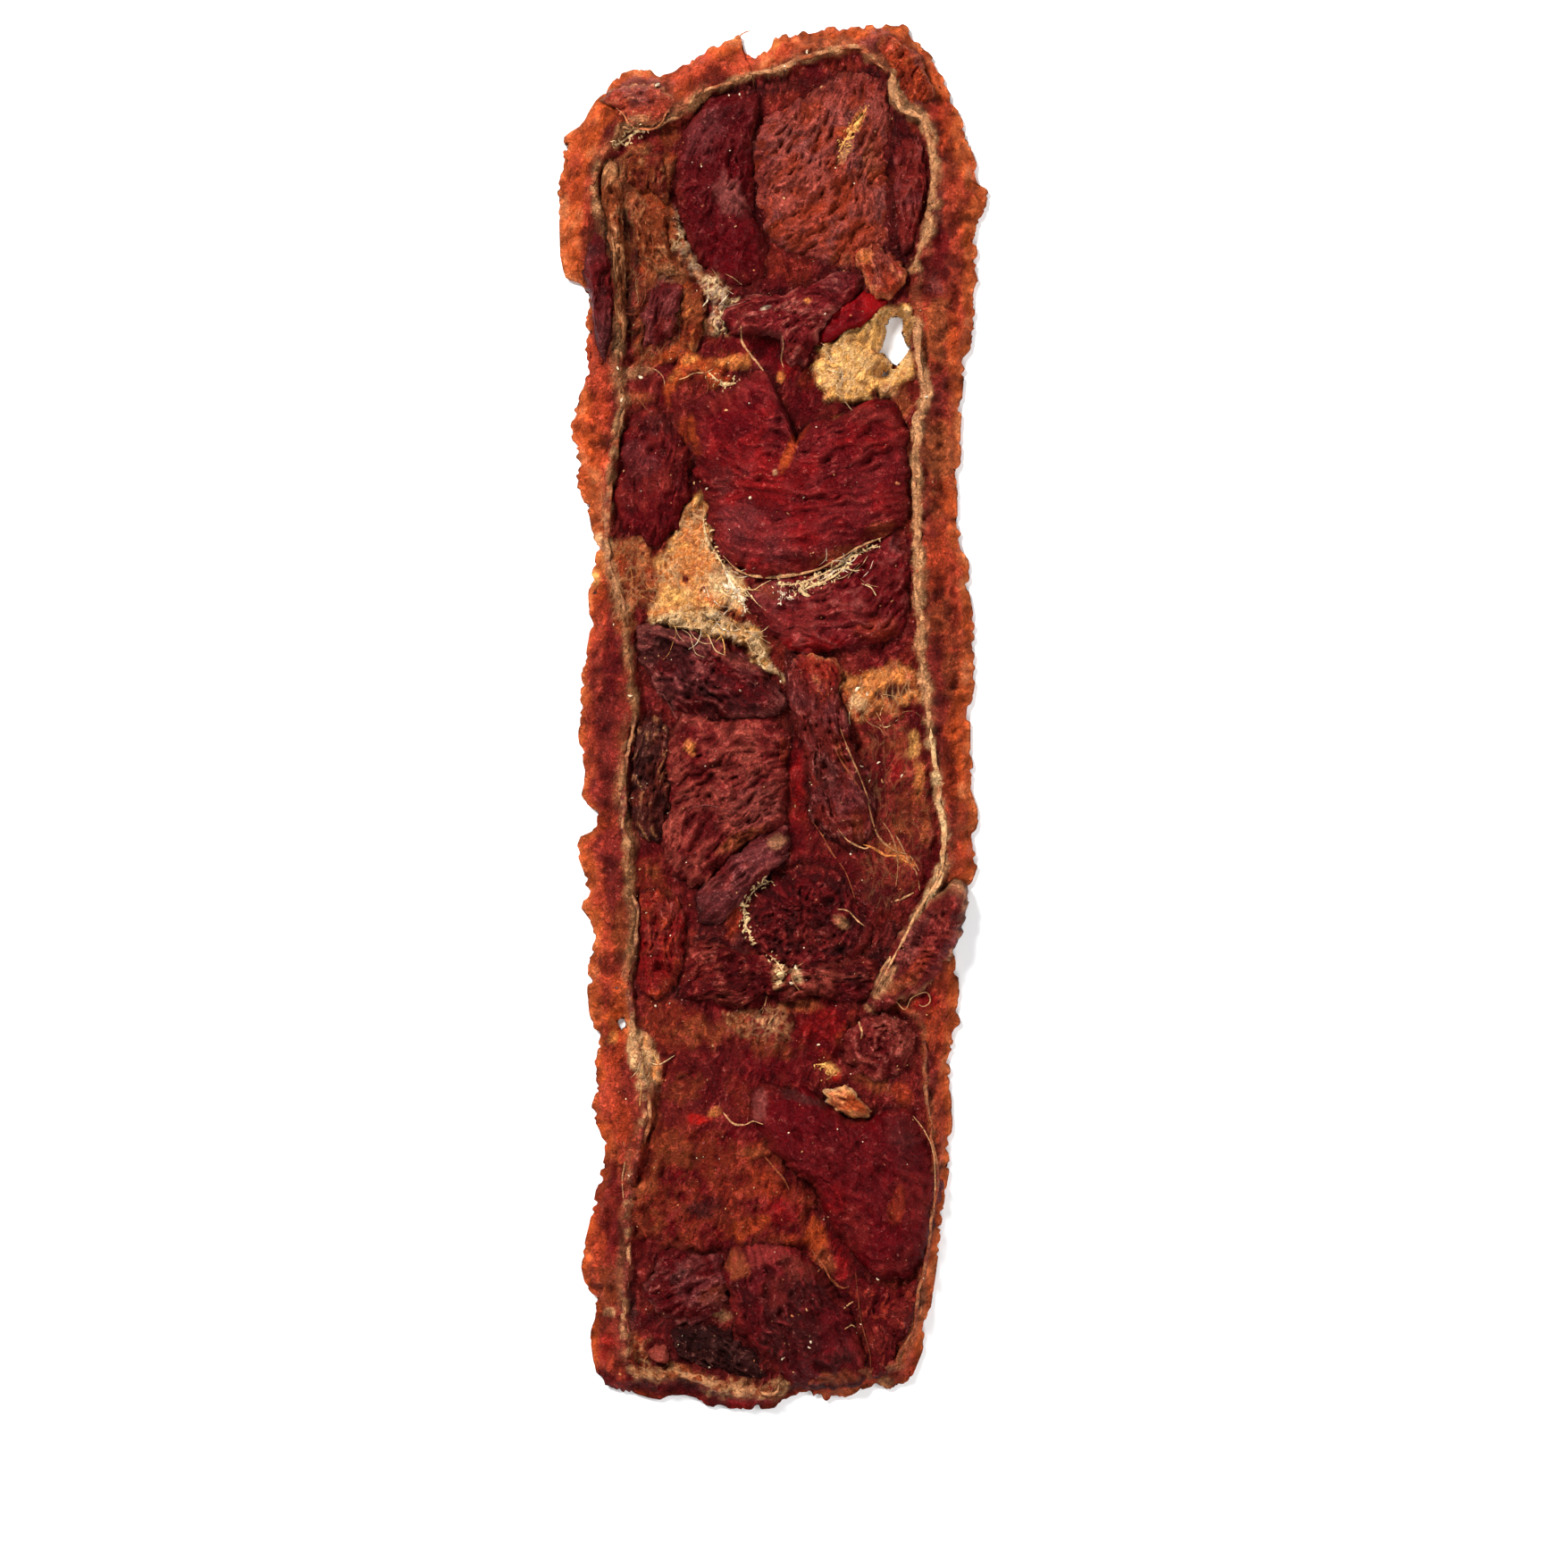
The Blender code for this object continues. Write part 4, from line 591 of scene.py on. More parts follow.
        (-8.8, -23.6), (-6.4, -22.2), (-3.6, -23.6), (-1, -23.4), (1.8, -25), (5, -24.2),
        (8.6, -23.4), (10.8, -25), (9.8, -27.6), (7.6, -28.9), (4.6, -27.4), (1.8, -28.8),
        (-1, -27.8), (-3.6, -29.2), (-6.4, -27.8), (-9.2, -28.6), (-9.6, -26)]),
    "plum_knot": (
        3.1, ("maroon", "rose"), 180, 0.3, ("round", 12.6, -31),
        "plum_rose", "rose_brown", "dark_plum", (0.9, 0.3, 0.6), [
        (7.8, -30.6), (9.4, -29.8), (11.4, -29.4), (13.6, -30.2), (14.3, -32.4), (13.6, -34.8),
        (11.6, -36.2), (9, -35.8), (7.2, -34.2), (7, -32.2)]),
    "tan_lens": (
        3.5, ("deep_amber", "straw"), 120, 0.3, ("along", 140, 0.2),
        "peach", "deep_amber", "cream", (0.3, 0.3, 0.7), [
        (4.9, -37.3), (5.8, -36.8), (7, -36.9), (8.2, -37.8), (9.2, -38.8), (9.9, -39.5), (9, -40),
        (8, -40.4), (6.8, -39.6), (5.7, -38.6)]),
    "great_flap": (
        4.5, ("maroon", "dark_plum"), 200, 0.8, ("along", 128, 0.2),
        "maroon", "maroon_dark", "plum", (0.6, 0.7, 0.4), [
        (-2.3, -38.6), (-1.8, -37.4), (-0.8, -36.9), (0.6, -37.3), (2.2, -37.4), (4.4, -37.8),
        (6, -39.2), (7.8, -40.6), (9.6, -40.3), (11.2, -39.2), (13, -38.8), (14.4, -40),
        (15.4, -41.8), (15.9, -44), (16, -47), (15.7, -50.4), (14.8, -53.6), (13.2, -56),
        (10.6, -56.2), (8.2, -53.8), (6.2, -51.6), (5, -48.6), (3.6, -46.2), (1.6, -44.8),
        (0.2, -43.6), (-0.8, -42), (-1.4, -40.2)]),
    "bottom_flap": (
        3.8, ("maroon_dark", "plum_red"), 90, 0.6, ("along", 118, 0.25),
        "maroon_dark", "black_meat", "plum", (0.7, 0.7, 0.6), [
        (-4.8, -53.6), (-3.4, -52.9), (-1.6, -52.4), (0.4, -52.6), (2.2, -53.2), (3.6, -54.4),
        (5.2, -56), (6.6, -57.8), (7.8, -60), (8.8, -62.8), (9.2, -65.4), (8, -66.6), (4.6, -66.9),
        (1.4, -66.8), (0.4, -65.4), (-1.2, -63.6), (-3, -61.4), (-4.2, -58.6), (-4.8, -56)]),
    "grey_lobe": (
        3.1, ("maroon", "mauve"), 90, 0.3, ("along", 30, 0.4),
        "dark_plum", "grey_plum", "mauve", (0.9, 0.25, 0.7), [
        (-12.4, -56.4), (-11.6, -54.2), (-9.6, -52.2), (-7.4, -53.8), (-5.6, -53.4), (-4.4, -56.4),
        (-4.8, -59), (-6.6, -60.4), (-9.4, -60.4), (-12, -59.8), (-12.9, -57.8)]),
    "black_patch": (
        2.3, ("black_meat", "charcoal"), 90, 0.2, ("along", 150, 0.2),
        "black_meat", "near_black", "near_black", (0.9, 0.3, 0.9), [
        (-10.4, -60.9), (-8.6, -60.9), (-6.6, -60.6), (-4.4, -61.4), (-2.4, -63), (-0.9, -64.8),
        (-0.4, -66.2), (-2.6, -66.2), (-5, -65.6), (-7.6, -64.8), (-9.8, -63.8)]),
    "nodule": (
        3.3, ("plum", "mauve"), 0, 0, ("along", 0, 0),
        "rose_brown", "mauve", "plum", (0.6, 0.4, 0.3), [
        (-12.4, -63.4), (-11.8, -62.7), (-11, -62.7), (-10.4, -63.5), (-10.8, -64.4),
        (-11.8, -64.5)]),
    "corner_plum": (
        2.8, ("maroon", "brick"), 0, 0.2, ("along", 100, 0.2),
        "dark_plum", "plum", "maroon", (0.6, 0.3, 0.5), [
        (8.8, -55.6), (10.8, -57.2), (13.4, -57), (14.6, -55.4), (14.2, -58.8), (12.8, -62.4),
        (11.4, -65.6), (9.8, -65.8), (9.2, -62.4), (8.2, -59.4), (7.4, -56.6)]),
    "top_lip": (
        3.1, ("rust", "peach"), 260, 0.4, ("along", 10, 0.3),
        "mauve", "brick", "tan", (0.6, 0.2, 0.4), [
        (-16.8, 61.2), (-15.2, 60.2), (-14.6, 58.8), (-13.6, 58.5), (-12, 58.4), (-11, 58.9),
        (-10.5, 59.8), (-9.6, 61), (-11, 62.8), (-13.6, 63.2), (-16, 62.4)]),
    "corner_lip": (
        3, ("rust_dark", "warm_brown"), 230, 0.3, ("along", 60, 0.3),
        "rust", "brick", "warm_brown", (0.5, 0.2, 0.8), [
        (11.6, 64.4), (12.6, 62), (13.8, 60.4), (15, 60.2), (16, 61.6), (15.2, 64.4), (13.6, 66.8),
        (11.6, 67.6), (10.2, 66.4)]),
}

# Stains on single folds, written as those on the bed; the grey_plum and mauve spots are painted sheen
FOLD_STAINS_AND_SHEEN = {
    "dark_oval": [
        (-4.2, 46.2, 2.8, 3.2, 20, "maroon", 0.95), (-4, 51.6, 1.4, 1.9, 20, "mauve", 0.75),
        (-7.2, 57.6, 1.9, 2.4, -20, "grey_plum", 0.6), (-4.6, 59.8, 2, 0.9, 10, "near_black", 0.4)],
    "upper_muscle": [
        (8.4, 59, 1.2, 0.5, 55, "honey", 0.8), (7, 57.8, 0.7, 0.6, 30, "deep_amber", 0.8),
        (9.6, 55.2, 0.8, 1.6, 10, "warm_brown", 0.6), (7.2, 56, 1.2, 0.4, 60, "tan", 0.6),
        (10.2, 53.4, 0.8, 1, 0, "rust", 0.5), (0.4, 48.2, 0.9, 0.8, 0, "rust", 0.8),
        (3.4, 49, 2.2, 1, 35, "brick", 0.5), (6.6, 50.6, 1.6, 0.7, 40, "rust", 0.6),
        (4.6, 62.4, 2.8, 0.8, 35, "near_black", 0.5), (8.6, 62.2, 2.2, 1.2, 0, "dark_plum", 0.5),
        (8.6, 47, 2.4, 2, 0, "rust", 0.75), (6.8, 45.4, 1, 0.6, 0, "warm_brown", 0.5),
        (-1, 55, 0.8, 2.4, 0, "dark_plum", 0.6), (3.6, 57.4, 2, 0.8, 50, "mauve", 0.5)],
    "curled_flap": [
        (3.4, 41.1, 0.35, 0.35, 0, "honey", 0.9), (-0.7, 40.5, 0.45, 0.2, 20, "white_fat", 0.9),
        (-2.8, 41.2, 1.8, 1, 20, "plum", 0.6), (2.4, 36.4, 0.9, 1, 0, "plum", 0.6),
        (6.6, 43, 1.4, 0.9, 20, "grey_plum", 0.6)],
    "ragged_flap": [(9.2, 45.6, 0.9, 0.7, 0, "honey", 0.5), (11.8, 43, 0.9, 0.9, 0, "rust", 0.5)],
    "plum_oval": [
        (-11.6, 19.8, 3, 2.4, 0, "maroon", 0.75), (-11.8, 29, 2.2, 1.1, 0, "near_black", 0.7),
        (-13.4, 25.4, 1.6, 1.6, 40, "grey_plum", 0.5)],
    "great_bean": [
        (-4.6, 29.6, 3.2, 2.2, 20, "maroon", 0.9), (-8.2, 28.2, 0.7, 2.2, 10, "deep_amber", 0.9),
        (1.7, 26.2, 0.5, 2.6, -25, "deep_amber", 0.9), (2.7, 28, 0.5, 1.4, -30, "rust", 0.8),
        (0.2, 24, 0.25, 0.3, 0, "cream", 0.5), (1, 31.6, 0.8, 1.6, 0, "near_black", 0.8),
        (0.6, 29.4, 0.45, 2.8, -8, "maroon_dark", 0.9), (2, 22.6, 3.2, 1.8, 0, "scarlet", 0.12),
        (-5.4, 31.2, 2.6, 0.8, 40, "plum", 0.7), (9.6, 29.8, 2.6, 1, 0, "plum_rose", 0.7),
        (4.6, 16.4, 6, 0.8, 14, "dark_plum", 0.7), (-6.4, 22.4, 0.8, 3.4, 14, "dark_plum", 0.7),
        (3.8, 29.8, 1, 0.8, 0, "maroon", 0.8), (9, 24, 2.8, 3, 0, "dark_plum", 0.45),
        (4.4, 20.6, 4, 2.4, 0, "maroon", 0.4), (-3.4, 19.4, 2.2, 1.8, 0, "grey_plum", 0.5),
        (-1, 16.6, 4.2, 1.4, -5, "grey_plum", 0.45), (12, 22, 1, 3, 0, "maroon", 0.6),
        (10.6, 18.6, 1.6, 0.8, 25, "brown", 0.7), (-5, 23.6, 1.2, 1.6, 0, "charcoal", 0.5),
        (6.6, 16.2, 2.4, 0.6, 20, "brown", 0.6)],
    "curved_muscle": [
        (9.6, 12.6, 3.2, 2.8, 0, "maroon", 0.75), (3.6, 7, 3.6, 0.7, 3, "blood", 0.7),
        (8.6, 14.8, 2.4, 1.2, 0, "maroon", 0.7), (10.6, 8.4, 2, 1, 0, "rust", 0.5),
        (0.2, 11.8, 2.4, 1.4, 0, "grey_plum", 0.5), (5, 10.2, 3, 1.2, 0, "plum_rose", 0.5),
        (-0.8, 12.6, 1.6, 0.7, -20, "brown", 0.5), (12.4, 17, 0.9, 1, 0, "charcoal", 0.5)],
    "near_black_flap": [
        (-3.6, 2.2, 3.2, 1.4, -25, "maroon", 0.6), (-8.6, 7.4, 3.6, 0.5, -20, "mauve", 0.8),
        (-11.6, 6.4, 1.6, 1.4, 0, "charcoal", 0.6), (-3.6, 5.4, 2.4, 0.5, -30, "rose_brown", 0.6),
        (-7.4, 1, 2.6, 1.2, -10, "dark_plum", 0.7)],
    "pebbly_muscle": [
        (-4, -4.4, 2.8, 2.2, 0, "rose_brown", 0.5), (-1.6, -8.8, 2.4, 2.4, 0, "mauve", 0.4),
        (-8.2, -3, 0.6, 0.8, 0, "honey", 0.9), (-3.6, -12.6, 2.6, 0.6, 30, "warm_brown", 0.8),
        (-7.4, -9.6, 2, 2.2, 0, "dark_plum", 0.6), (-8, -13.4, 1.4, 0.8, 0, "maroon", 0.6),
        (1, -3.6, 0.4, 2.2, 0, "rust", 0.5)],
    "long_flap": [
        (6.9, -4.4, 0.3, 1.8, 22, "brown", 0.8), (3.2, 3.6, 1.6, 1.4, 0, "plum_rose", 0.7),
        (8.4, -11, 0.5, 1.8, 10, "brown", 0.6), (4.9, -4.6, 1, 2.4, 12, "charcoal", 0.5)],
    "rose_edge": [(5.2, 1.6, 0.8, 1.4, 20, "brick", 0.6), (2.6, 5.6, 1, 0.5, 0, "mauve", 0.6)],
    "twisted_wing": [
        (13.6, -22.6, 1, 4.4, -33, "mauve", 0.6), (11.2, -26.6, 0.6, 1.6, -30, "tan", 0.8),
        (17.4, -19.6, 1.2, 1.8, 60, "plum", 0.6), (12.6, -26.6, 1.8, 0.7, 30, "warm_brown", 0.7),
        (14.6, -24.6, 1.8, 0.8, 45, "rust", 0.6), (16.6, -22.6, 1.2, 1.2, 0, "dark_plum", 0.5)],
    "arc_band": [
        (0.4, -12.4, 0.8, 0.7, 20, "tan", 0.45), (-5.4, -16.6, 1, 0.6, 20, "near_black", 0.6)],
    "ringed_muscle": [
        (2.6, -17.4, 2, 1, 0, "maroon", 0.6), (3.8, -22, 2.6, 1.2, 0, "plum", 0.5),
        (6.8, -20.4, 0.8, 0.5, -40, "tan", 0.5)],
    "dark_slab": [
        (4.4, -26, 2, 1, 0, "rose_brown", 0.7), (0.6, -26, 0.6, 1.2, 0, "tan", 0.7),
        (2.4, -25.6, 0.4, 1, 20, "cream", 0.7), (8.4, -26, 1.4, 1, 0, "near_black", 0.7),
        (-7, -25.6, 1.2, 1.2, 0, "plum", 0.6)],
    "great_flap": [
        (-1.3, -38.8, 0.7, 1.6, 10, "mauve", 0.6), (3, -38, 2, 0.5, -15, "charcoal", 0.7),
        (4.4, -44.4, 3.4, 2.2, -40, "dark_plum", 0.5), (13, -41.6, 1.4, 2.2, 30, "charcoal", 0.3),
        (8.6, -44.6, 4.2, 3.4, -30, "dark_plum", 0.5), (13.6, -47.6, 1.4, 3.4, 5, "plum", 0.3),
        (8, -50.4, 1.8, 2.2, 0, "plum", 0.4), (12.2, -48.6, 0.7, 1.6, -15, "rust", 0.5),
        (6.2, -47.6, 1, 1.6, 0, "blood", 0.4)],
    "bottom_flap": [
        (-1, -53.6, 3, 1, 5, "plum_rose", 0.8), (2.4, -55, 2, 0.9, -40, "brown_plum", 0.7),
        (-3.6, -54.6, 1, 1.6, 30, "warm_brown", 0.6), (0.2, -57, 1.4, 1.6, 30, "plum", 0.4),
        (6.6, -65.8, 2, 0.7, 5, "warm_brown", 0.6)],
    "grey_lobe": [
        (-8.4, -54.6, 1.6, 0.8, 10, "mauve", 0.6), (-9.4, -55.8, 0.8, 0.8, 0, "charcoal", 0.6),
        (-6, -57.6, 1.4, 1, 0, "brown", 0.5), (-9.8, -58.6, 1.6, 0.8, 0, "maroon", 0.5)],
    "black_patch": [(-5, -62.6, 2, 0.6, -30, "charcoal", 0.5)],
    "top_lip": [(-13.6, 59.2, 1.2, 0.4, -5, "tan", 0.6), (-15.6, 61, 1, 0.8, 0, "brick", 0.6)],
}

# Tan and cream threads that lie on top: radius before it is made thinner, paint and route
THREADS = [
    (0.2, "peach", [
        (-15.6, 60.4), (-14.8, 59.6), (-14.3, 58.7), (-13.2, 58.3), (-12, 58.3), (-11.2, 58.8),
        (-10.6, 59.9)]),
    (0.26, "cream", [(-15.8, 56.7), (-14.8, 57.3), (-13.8, 57.9), (-12.8, 58.2)]),
    (0.2, "cream", [(-14.6, 56.6), (-14.2, 57.4)]),
    (0.7, "olive_tan", [(15.7, 51.6), (15.5, 50.4), (15.3, 49.2)]),
    (0.3, "straw", [(9.3, 60.4), (8.7, 59.2), (7.8, 58), (7, 56.8), (6.5, 55.9)]),
    (0.2, "tan", [(-3.2, 38.6), (-3.1, 37.2), (-2.3, 36), (-1.5, 35), (-0.9, 34.2)]),
    (0.3, "cream", [(-6.4, 34.1), (-5.6, 33.4), (-4.6, 33), (-3.7, 33.1)]),
    (0.14, "tan", [(0.9, 37.6), (1, 36.6), (0.8, 35.6), (1, 34.6)]),
    (0.26, "tan", [
        (-5, 15.9), (-3.4, 14.4), (-1.2, 13.8), (1.4, 13.9), (4, 14.4), (6.2, 15.4), (8.6, 16.8),
        (10.8, 17.7)]),
    (0.24, "cream", [(-7, 19.8), (-6.6, 17.6), (-5.4, 15.6), (-4, 13.6), (-2.4, 11.8)]),
    (0.26, "white_fat", [(-4.8, 14.4), (-4, 12.8), (-3.2, 11.8), (-2.8, 10.4)]),
    (0.18, "cream", [(-6.4, 14), (-5.2, 12.4), (-3.8, 11.6)]),
    (0.2, "cream", [(0.2, 13), (2.6, 13.1), (4.8, 14), (6.6, 15), (8.4, 16.1), (10.4, 17)]),
    (0.2, "cream", [(2.8, 12.4), (4.4, 13), (6, 13.8), (7.2, 14.8)]),
    (0.18, "olive_tan", [
        (9.4, -8.6), (9.9, -10.6), (10.6, -12.2), (12, -13.4), (13.6, -14), (14.6, -15.6)]),
    (0.15, "olive_tan", [(6.6, -1.2), (7.6, -3.8), (8.8, -6.6), (9.6, -8.8)]),
    (0.12, "white_fat", [(0.6, 12.3), (0.9, 11.7), (0.7, 11.3)]),
    (0.12, "white_fat", [(1.1, 12.1), (1.5, 11.5)]),
    (0.14, "cream", [(1.9, 12.5), (2.2, 12), (2, 11.7)]),
    (0.12, "tan", [
        (12.2, -28.4), (13.1, -29.2), (13.8, -28), (15.2, -27.5), (15.6, -28.4), (14.9, -28.9),
        (14, -28.4)]),
    (0.17, "tan", [(-5, -39.5), (-4, -40.6), (-2.8, -40.7), (-1.9, -40.3), (-1, -40.5)]),
    (0.22, "warm_brown", [(3.8, -53.2), (5, -54.8), (5.8, -56.2), (6.8, -57), (7.6, -56.8)]),
    (0.12, "tan", [(7, -58.9), (7.5, -58.6), (8, -58.3)]),
    (0.1, "tan", [(7.1, -60.9), (7.8, -60.6), (8.2, -60.9)]),
    (0.1, "brown", [(8.2, -55.4), (8.4, -57.6), (8.8, -60.4), (9.6, -63.4), (9.7, -65)]),
    (0.11, "honey", [(-4.8, 67), (-3.6, 67.7), (-2.9, 68.2), (-2.2, 68.4)]),
    (0.11, "tan", [(13.9, -39.8), (15.1, -41.4), (15.9, -43.4), (16.1, -46.4), (15.9, -50)]),
    (0.24, "tan", [
        (16.9, -12), (16.9, -14.6), (16.1, -16.8), (14.5, -19.2), (12.9, -22.2), (11.2, -25.4),
        (10.3, -27)]),
    (0.2, "honey", [(8.9, -12.8), (10, -13.2), (11.2, -13.9), (12.4, -14), (13.6, -14.8)]),
    (0.16, "olive_tan", [(12, -11.6), (12.8, -13), (13.4, -14.4), (14.2, -15.6), (14.6, -17.4)]),
    (0.15, "tan", [(6.4, -11.2), (7.4, -12.4), (9, -13.2), (9.6, -13)]),
    (0.14, "warm_brown", [(3.8, -10.4), (4.8, -11.8), (5.8, -13.6), (7.2, -15.6), (8.2, -18.4)]),
    (0.12, "olive_tan", [(10.6, -10.2), (11.6, -11.6), (12.2, -13.2), (12.4, -15), (12.2, -17)]),
    (0.16, "tan", [(11.6, -18.6), (12.8, -18.2), (14, -17.6)]),
    (0.16, "tan", [(6.4, -19.2), (7.4, -19.4), (8.4, -20.4), (9.2, -21)]),
    (0.14, "warm_brown", [(5.9, -3), (6.8, -4.6), (7.6, -5.8), (8.4, -7)]),
    (0.14, "cream", [
        (-0.1, -16.4), (-1.3, -16.9), (-2.3, -17.9), (-2.9, -19.2), (-2.8, -20.6), (-2.4, -21.6),
        (-2, -22.6)]),
    (0.13, "cream", [(-0.3, -23.8), (0.6, -24.8), (1, -25.8), (0.4, -26.8)]),
    (0.15, "olive_tan", [(3, -24.5), (2.1, -25.2), (1.9, -26.2), (2.6, -27.3)]),
    (0.16, "straw", [(4.2, -34.7), (5.2, -34.8), (5.8, -35.8), (5, -36.4)]),
    (0.2, "tan", [(8.5, -30.4), (8.8, -31.4), (8.7, -32.2)]),
    (0.1, "mauve", [(-11, 2.2), (-10.2, 0.8), (-9.6, -0.4)]),
    (0.1, "mauve", [(-8.4, -9.2), (-6.4, -8.9), (-4.2, -9.6)]),
    (0.2, "warm_brown", [(-0.9, -43.8), (0, -44.8), (1, -46), (1.6, -47.2)]),
    (0.13, "tan", [(-14.9, -42.4), (-14.7, -44), (-15, -46), (-14.9, -48)]),
]

# Nets of strands: place, spread across and along, heading, how many, length and paints
NETS = [
    (9.6, 1.6, 2.6, 2.2, -70, 8, 2, ("tan", "cream", "olive_tan")),
    (-5.8, 8.9, 5.6, 1.1, -28, 26, 2, ("cream", "white_fat", "straw")),
    (-5.0, 12.6, 2.2, 2.4, -55, 16, 2, ("cream", "white_fat", "straw")),
    (-5.4, 42.4, 1.0, 2.4, -52, 8, 1, ("cream", "white_fat", "tan")),
    (7.6, 34.8, 3.4, 2.6, -48, 12, 1, ("cream", "straw", "white_fat")),
    (6.0, 14.2, 3.0, 1.2, 20, 18, 0, ("cream", "white_fat", "tan")),
    (-1.4, -30.2, 2.6, 1.0, 50, 6, 0, ("tan", "olive_tan", "warm_brown")),
    (-12.9, -33.6, 0.8, 2.6, -75, 6, 1, ("cream", "straw")),
    (-13.2, 47.0, 1.2, 6.0, -85, 8, 3, ("olive_tan", "warm_brown", "brown")),
    (-11.0, 33.6, 3.4, 2.0, 0, 6, 2, ("tan", "warm_brown")),
    (-14.2, 14.0, 1.4, 3.6, -80, 6, 2, ("honey", "warm_brown")),
]

# Pale bits large enough to be told apart: place and half width
WHITE_BITS = [
    (-15.5, 56.8, 0.25), (-12.9, 58.2, 0.25), (-15.4, 34.5, 0.2), (-15.0, 31.3, 0.25),
    (15.2, 31.7, 0.25), (-14.2, 2.0, 0.25), (0.8, 3.4, 0.2), (8.8, -5.0, 0.2), (9.6, -6.5, 0.18),
    (10.5, -4.7, 0.2), (12.8, -6.0, 0.2), (2.3, -25.0, 0.3), (1.8, -26.5, 0.25), (3.6, -62.6, 0.2),
    (1.0, -63.8, 0.25), (10.4, -56.0, 0.18), (-13.2, 33.8, 0.3), (1.2, 64.4, 0.25),
    (2.2, 64.9, 0.2), (3.4, 66.0, 0.25), (-6.6, 22.5, 0.18), (8.4, 2.6, 0.3), (9.4, 2.2, 0.3),
]


def clamp(value, low=0.0, high=1.0):
    return np.minimum(np.maximum(value, low), high)


def ease(value):
    """Rises smoothly from 0 to 1 as the value does."""
    value = clamp(value)
    return value * value * (3.0 - 2.0 * value)


def mix(start, end, share):
    return start + (end - start) * share


def linear(paint):
    """A named colour as the renderer reckons with it."""
    shown = np.array(PAINTS[paint]) / 255.0
    return np.where(shown <= 0.04045, shown / 12.92, ((shown + 0.055) / 1.055) ** 2.4)


def scatter(ix, iy, seed):
    """A repeatable number from 0 to 1 for each pair of whole numbers."""
    mixed = (ix * 374761393 + iy * 668265263 + seed * 974634777) & 0xFFFFFFFF
    mixed = ((mixed ^ (mixed >> 13)) * 1274126177) & 0xFFFFFFFF
    mixed = ((mixed ^ (mixed >> 16)) * 2246822519) & 0xFFFFFFFF
    return ((mixed ^ (mixed >> 15)) & 0xFFFFFF) / 16777215.0


def blotches(x, y, size, seed):
    """Smooth random blotches from -1 to 1, of a size in millimetres."""
    u = np.asarray(x) / size + 1000.0
    v = np.asarray(y) / size + 1000.0
    iu = np.floor(u).astype(np.int64)
    iv = np.floor(v).astype(np.int64)
    fu = ease(u - iu)
    fv = ease(v - iv)
    low = mix(scatter(iu, iv, seed), scatter(iu + 1, iv, seed), fu)
    high = mix(scatter(iu, iv + 1, seed), scatter(iu + 1, iv + 1, seed), fu)
    return 2.0 * mix(low, high, fv) - 1.0


def rough(x, y, size, seed, layers=3):
    """Blotches with ever finer ones on top, from about -1 to 1."""
    total = 0.0
    weight = 0.0
    for layer in range(layers):
        share = 0.55 ** layer
        total = total + share * blotches(x, y, size / 2.0 ** layer, seed + 17 * layer)
        weight += share
    return total * 1.5 / weight


def creases(x, y, size, seed, layers=3):
    """Narrow crests between smooth hollows, from 0 to 1."""
    total = 0.0
    weight = 0.0
    for layer in range(layers):
        share = 0.6 ** layer
        blotch = blotches(x, y, size / 2.0 ** layer, seed + 29 * layer)
        total = total + share * (1.0 - np.abs(blotch))
        weight += share
    return clamp((total / weight - 0.35) / 0.6)


def web(x, y, size, seed):
    """Strands between round pores: how near a point is to a strand, from 0 to 1."""
    u = np.asarray(x) / size + 500.0
    v = np.asarray(y) / size + 500.0
    iu = np.floor(u).astype(np.int64)
    iv = np.floor(v).astype(np.int64)
    nearest = np.full(u.shape, 9.0)
    second = np.full(u.shape, 9.0)
    for du in (-1, 0, 1):
        for dv in (-1, 0, 1):
            cu = iu + du + scatter(iu + du, iv + dv, seed)
            cv = iv + dv + scatter(iu + du, iv + dv, seed + 5)
            gap = np.hypot(u - cu, v - cv)
            second = np.minimum(second, np.maximum(nearest, gap))
            nearest = np.minimum(nearest, gap)
    return 1.0 - ease((second - nearest) / 0.35)


def loop_depth(x, y, loop):
    """Distance from each point to a closed loop, positive inside it."""
    points = np.array(loop, dtype=float)
    nearest = np.full(x.shape, 1e9)
    inside = np.zeros(x.shape, dtype=bool)
    for (ax, ay), (bx, by) in zip(points, np.roll(points, -1, axis=0)):
        rx, ry = bx - ax, by - ay
        share = clamp(((x - ax) * rx + (y - ay) * ry) / max(rx * rx + ry * ry, 1e-9))
        nearest = np.minimum(nearest, np.hypot(x - ax - rx * share, y - ay - ry * share))
        if ry != 0.0:
            crosses = (ay > y) != (by > y)
            inside ^= crosses & (x < ax + rx * (y - ay) / ry)
    return np.where(inside, nearest, -nearest)


def route_distance(x, y, route):
    """Distance from each point to an open line."""
    nearest = np.full(x.shape, 1e9)
    for (ax, ay), (bx, by) in zip(route, route[1:]):
        rx, ry = bx - ax, by - ay
        share = clamp(((x - ax) * rx + (y - ay) * ry) / max(rx * rx + ry * ry, 1e-9))
        nearest = np.minimum(nearest, np.hypot(x - ax - rx * share, y - ay - ry * share))
    return nearest


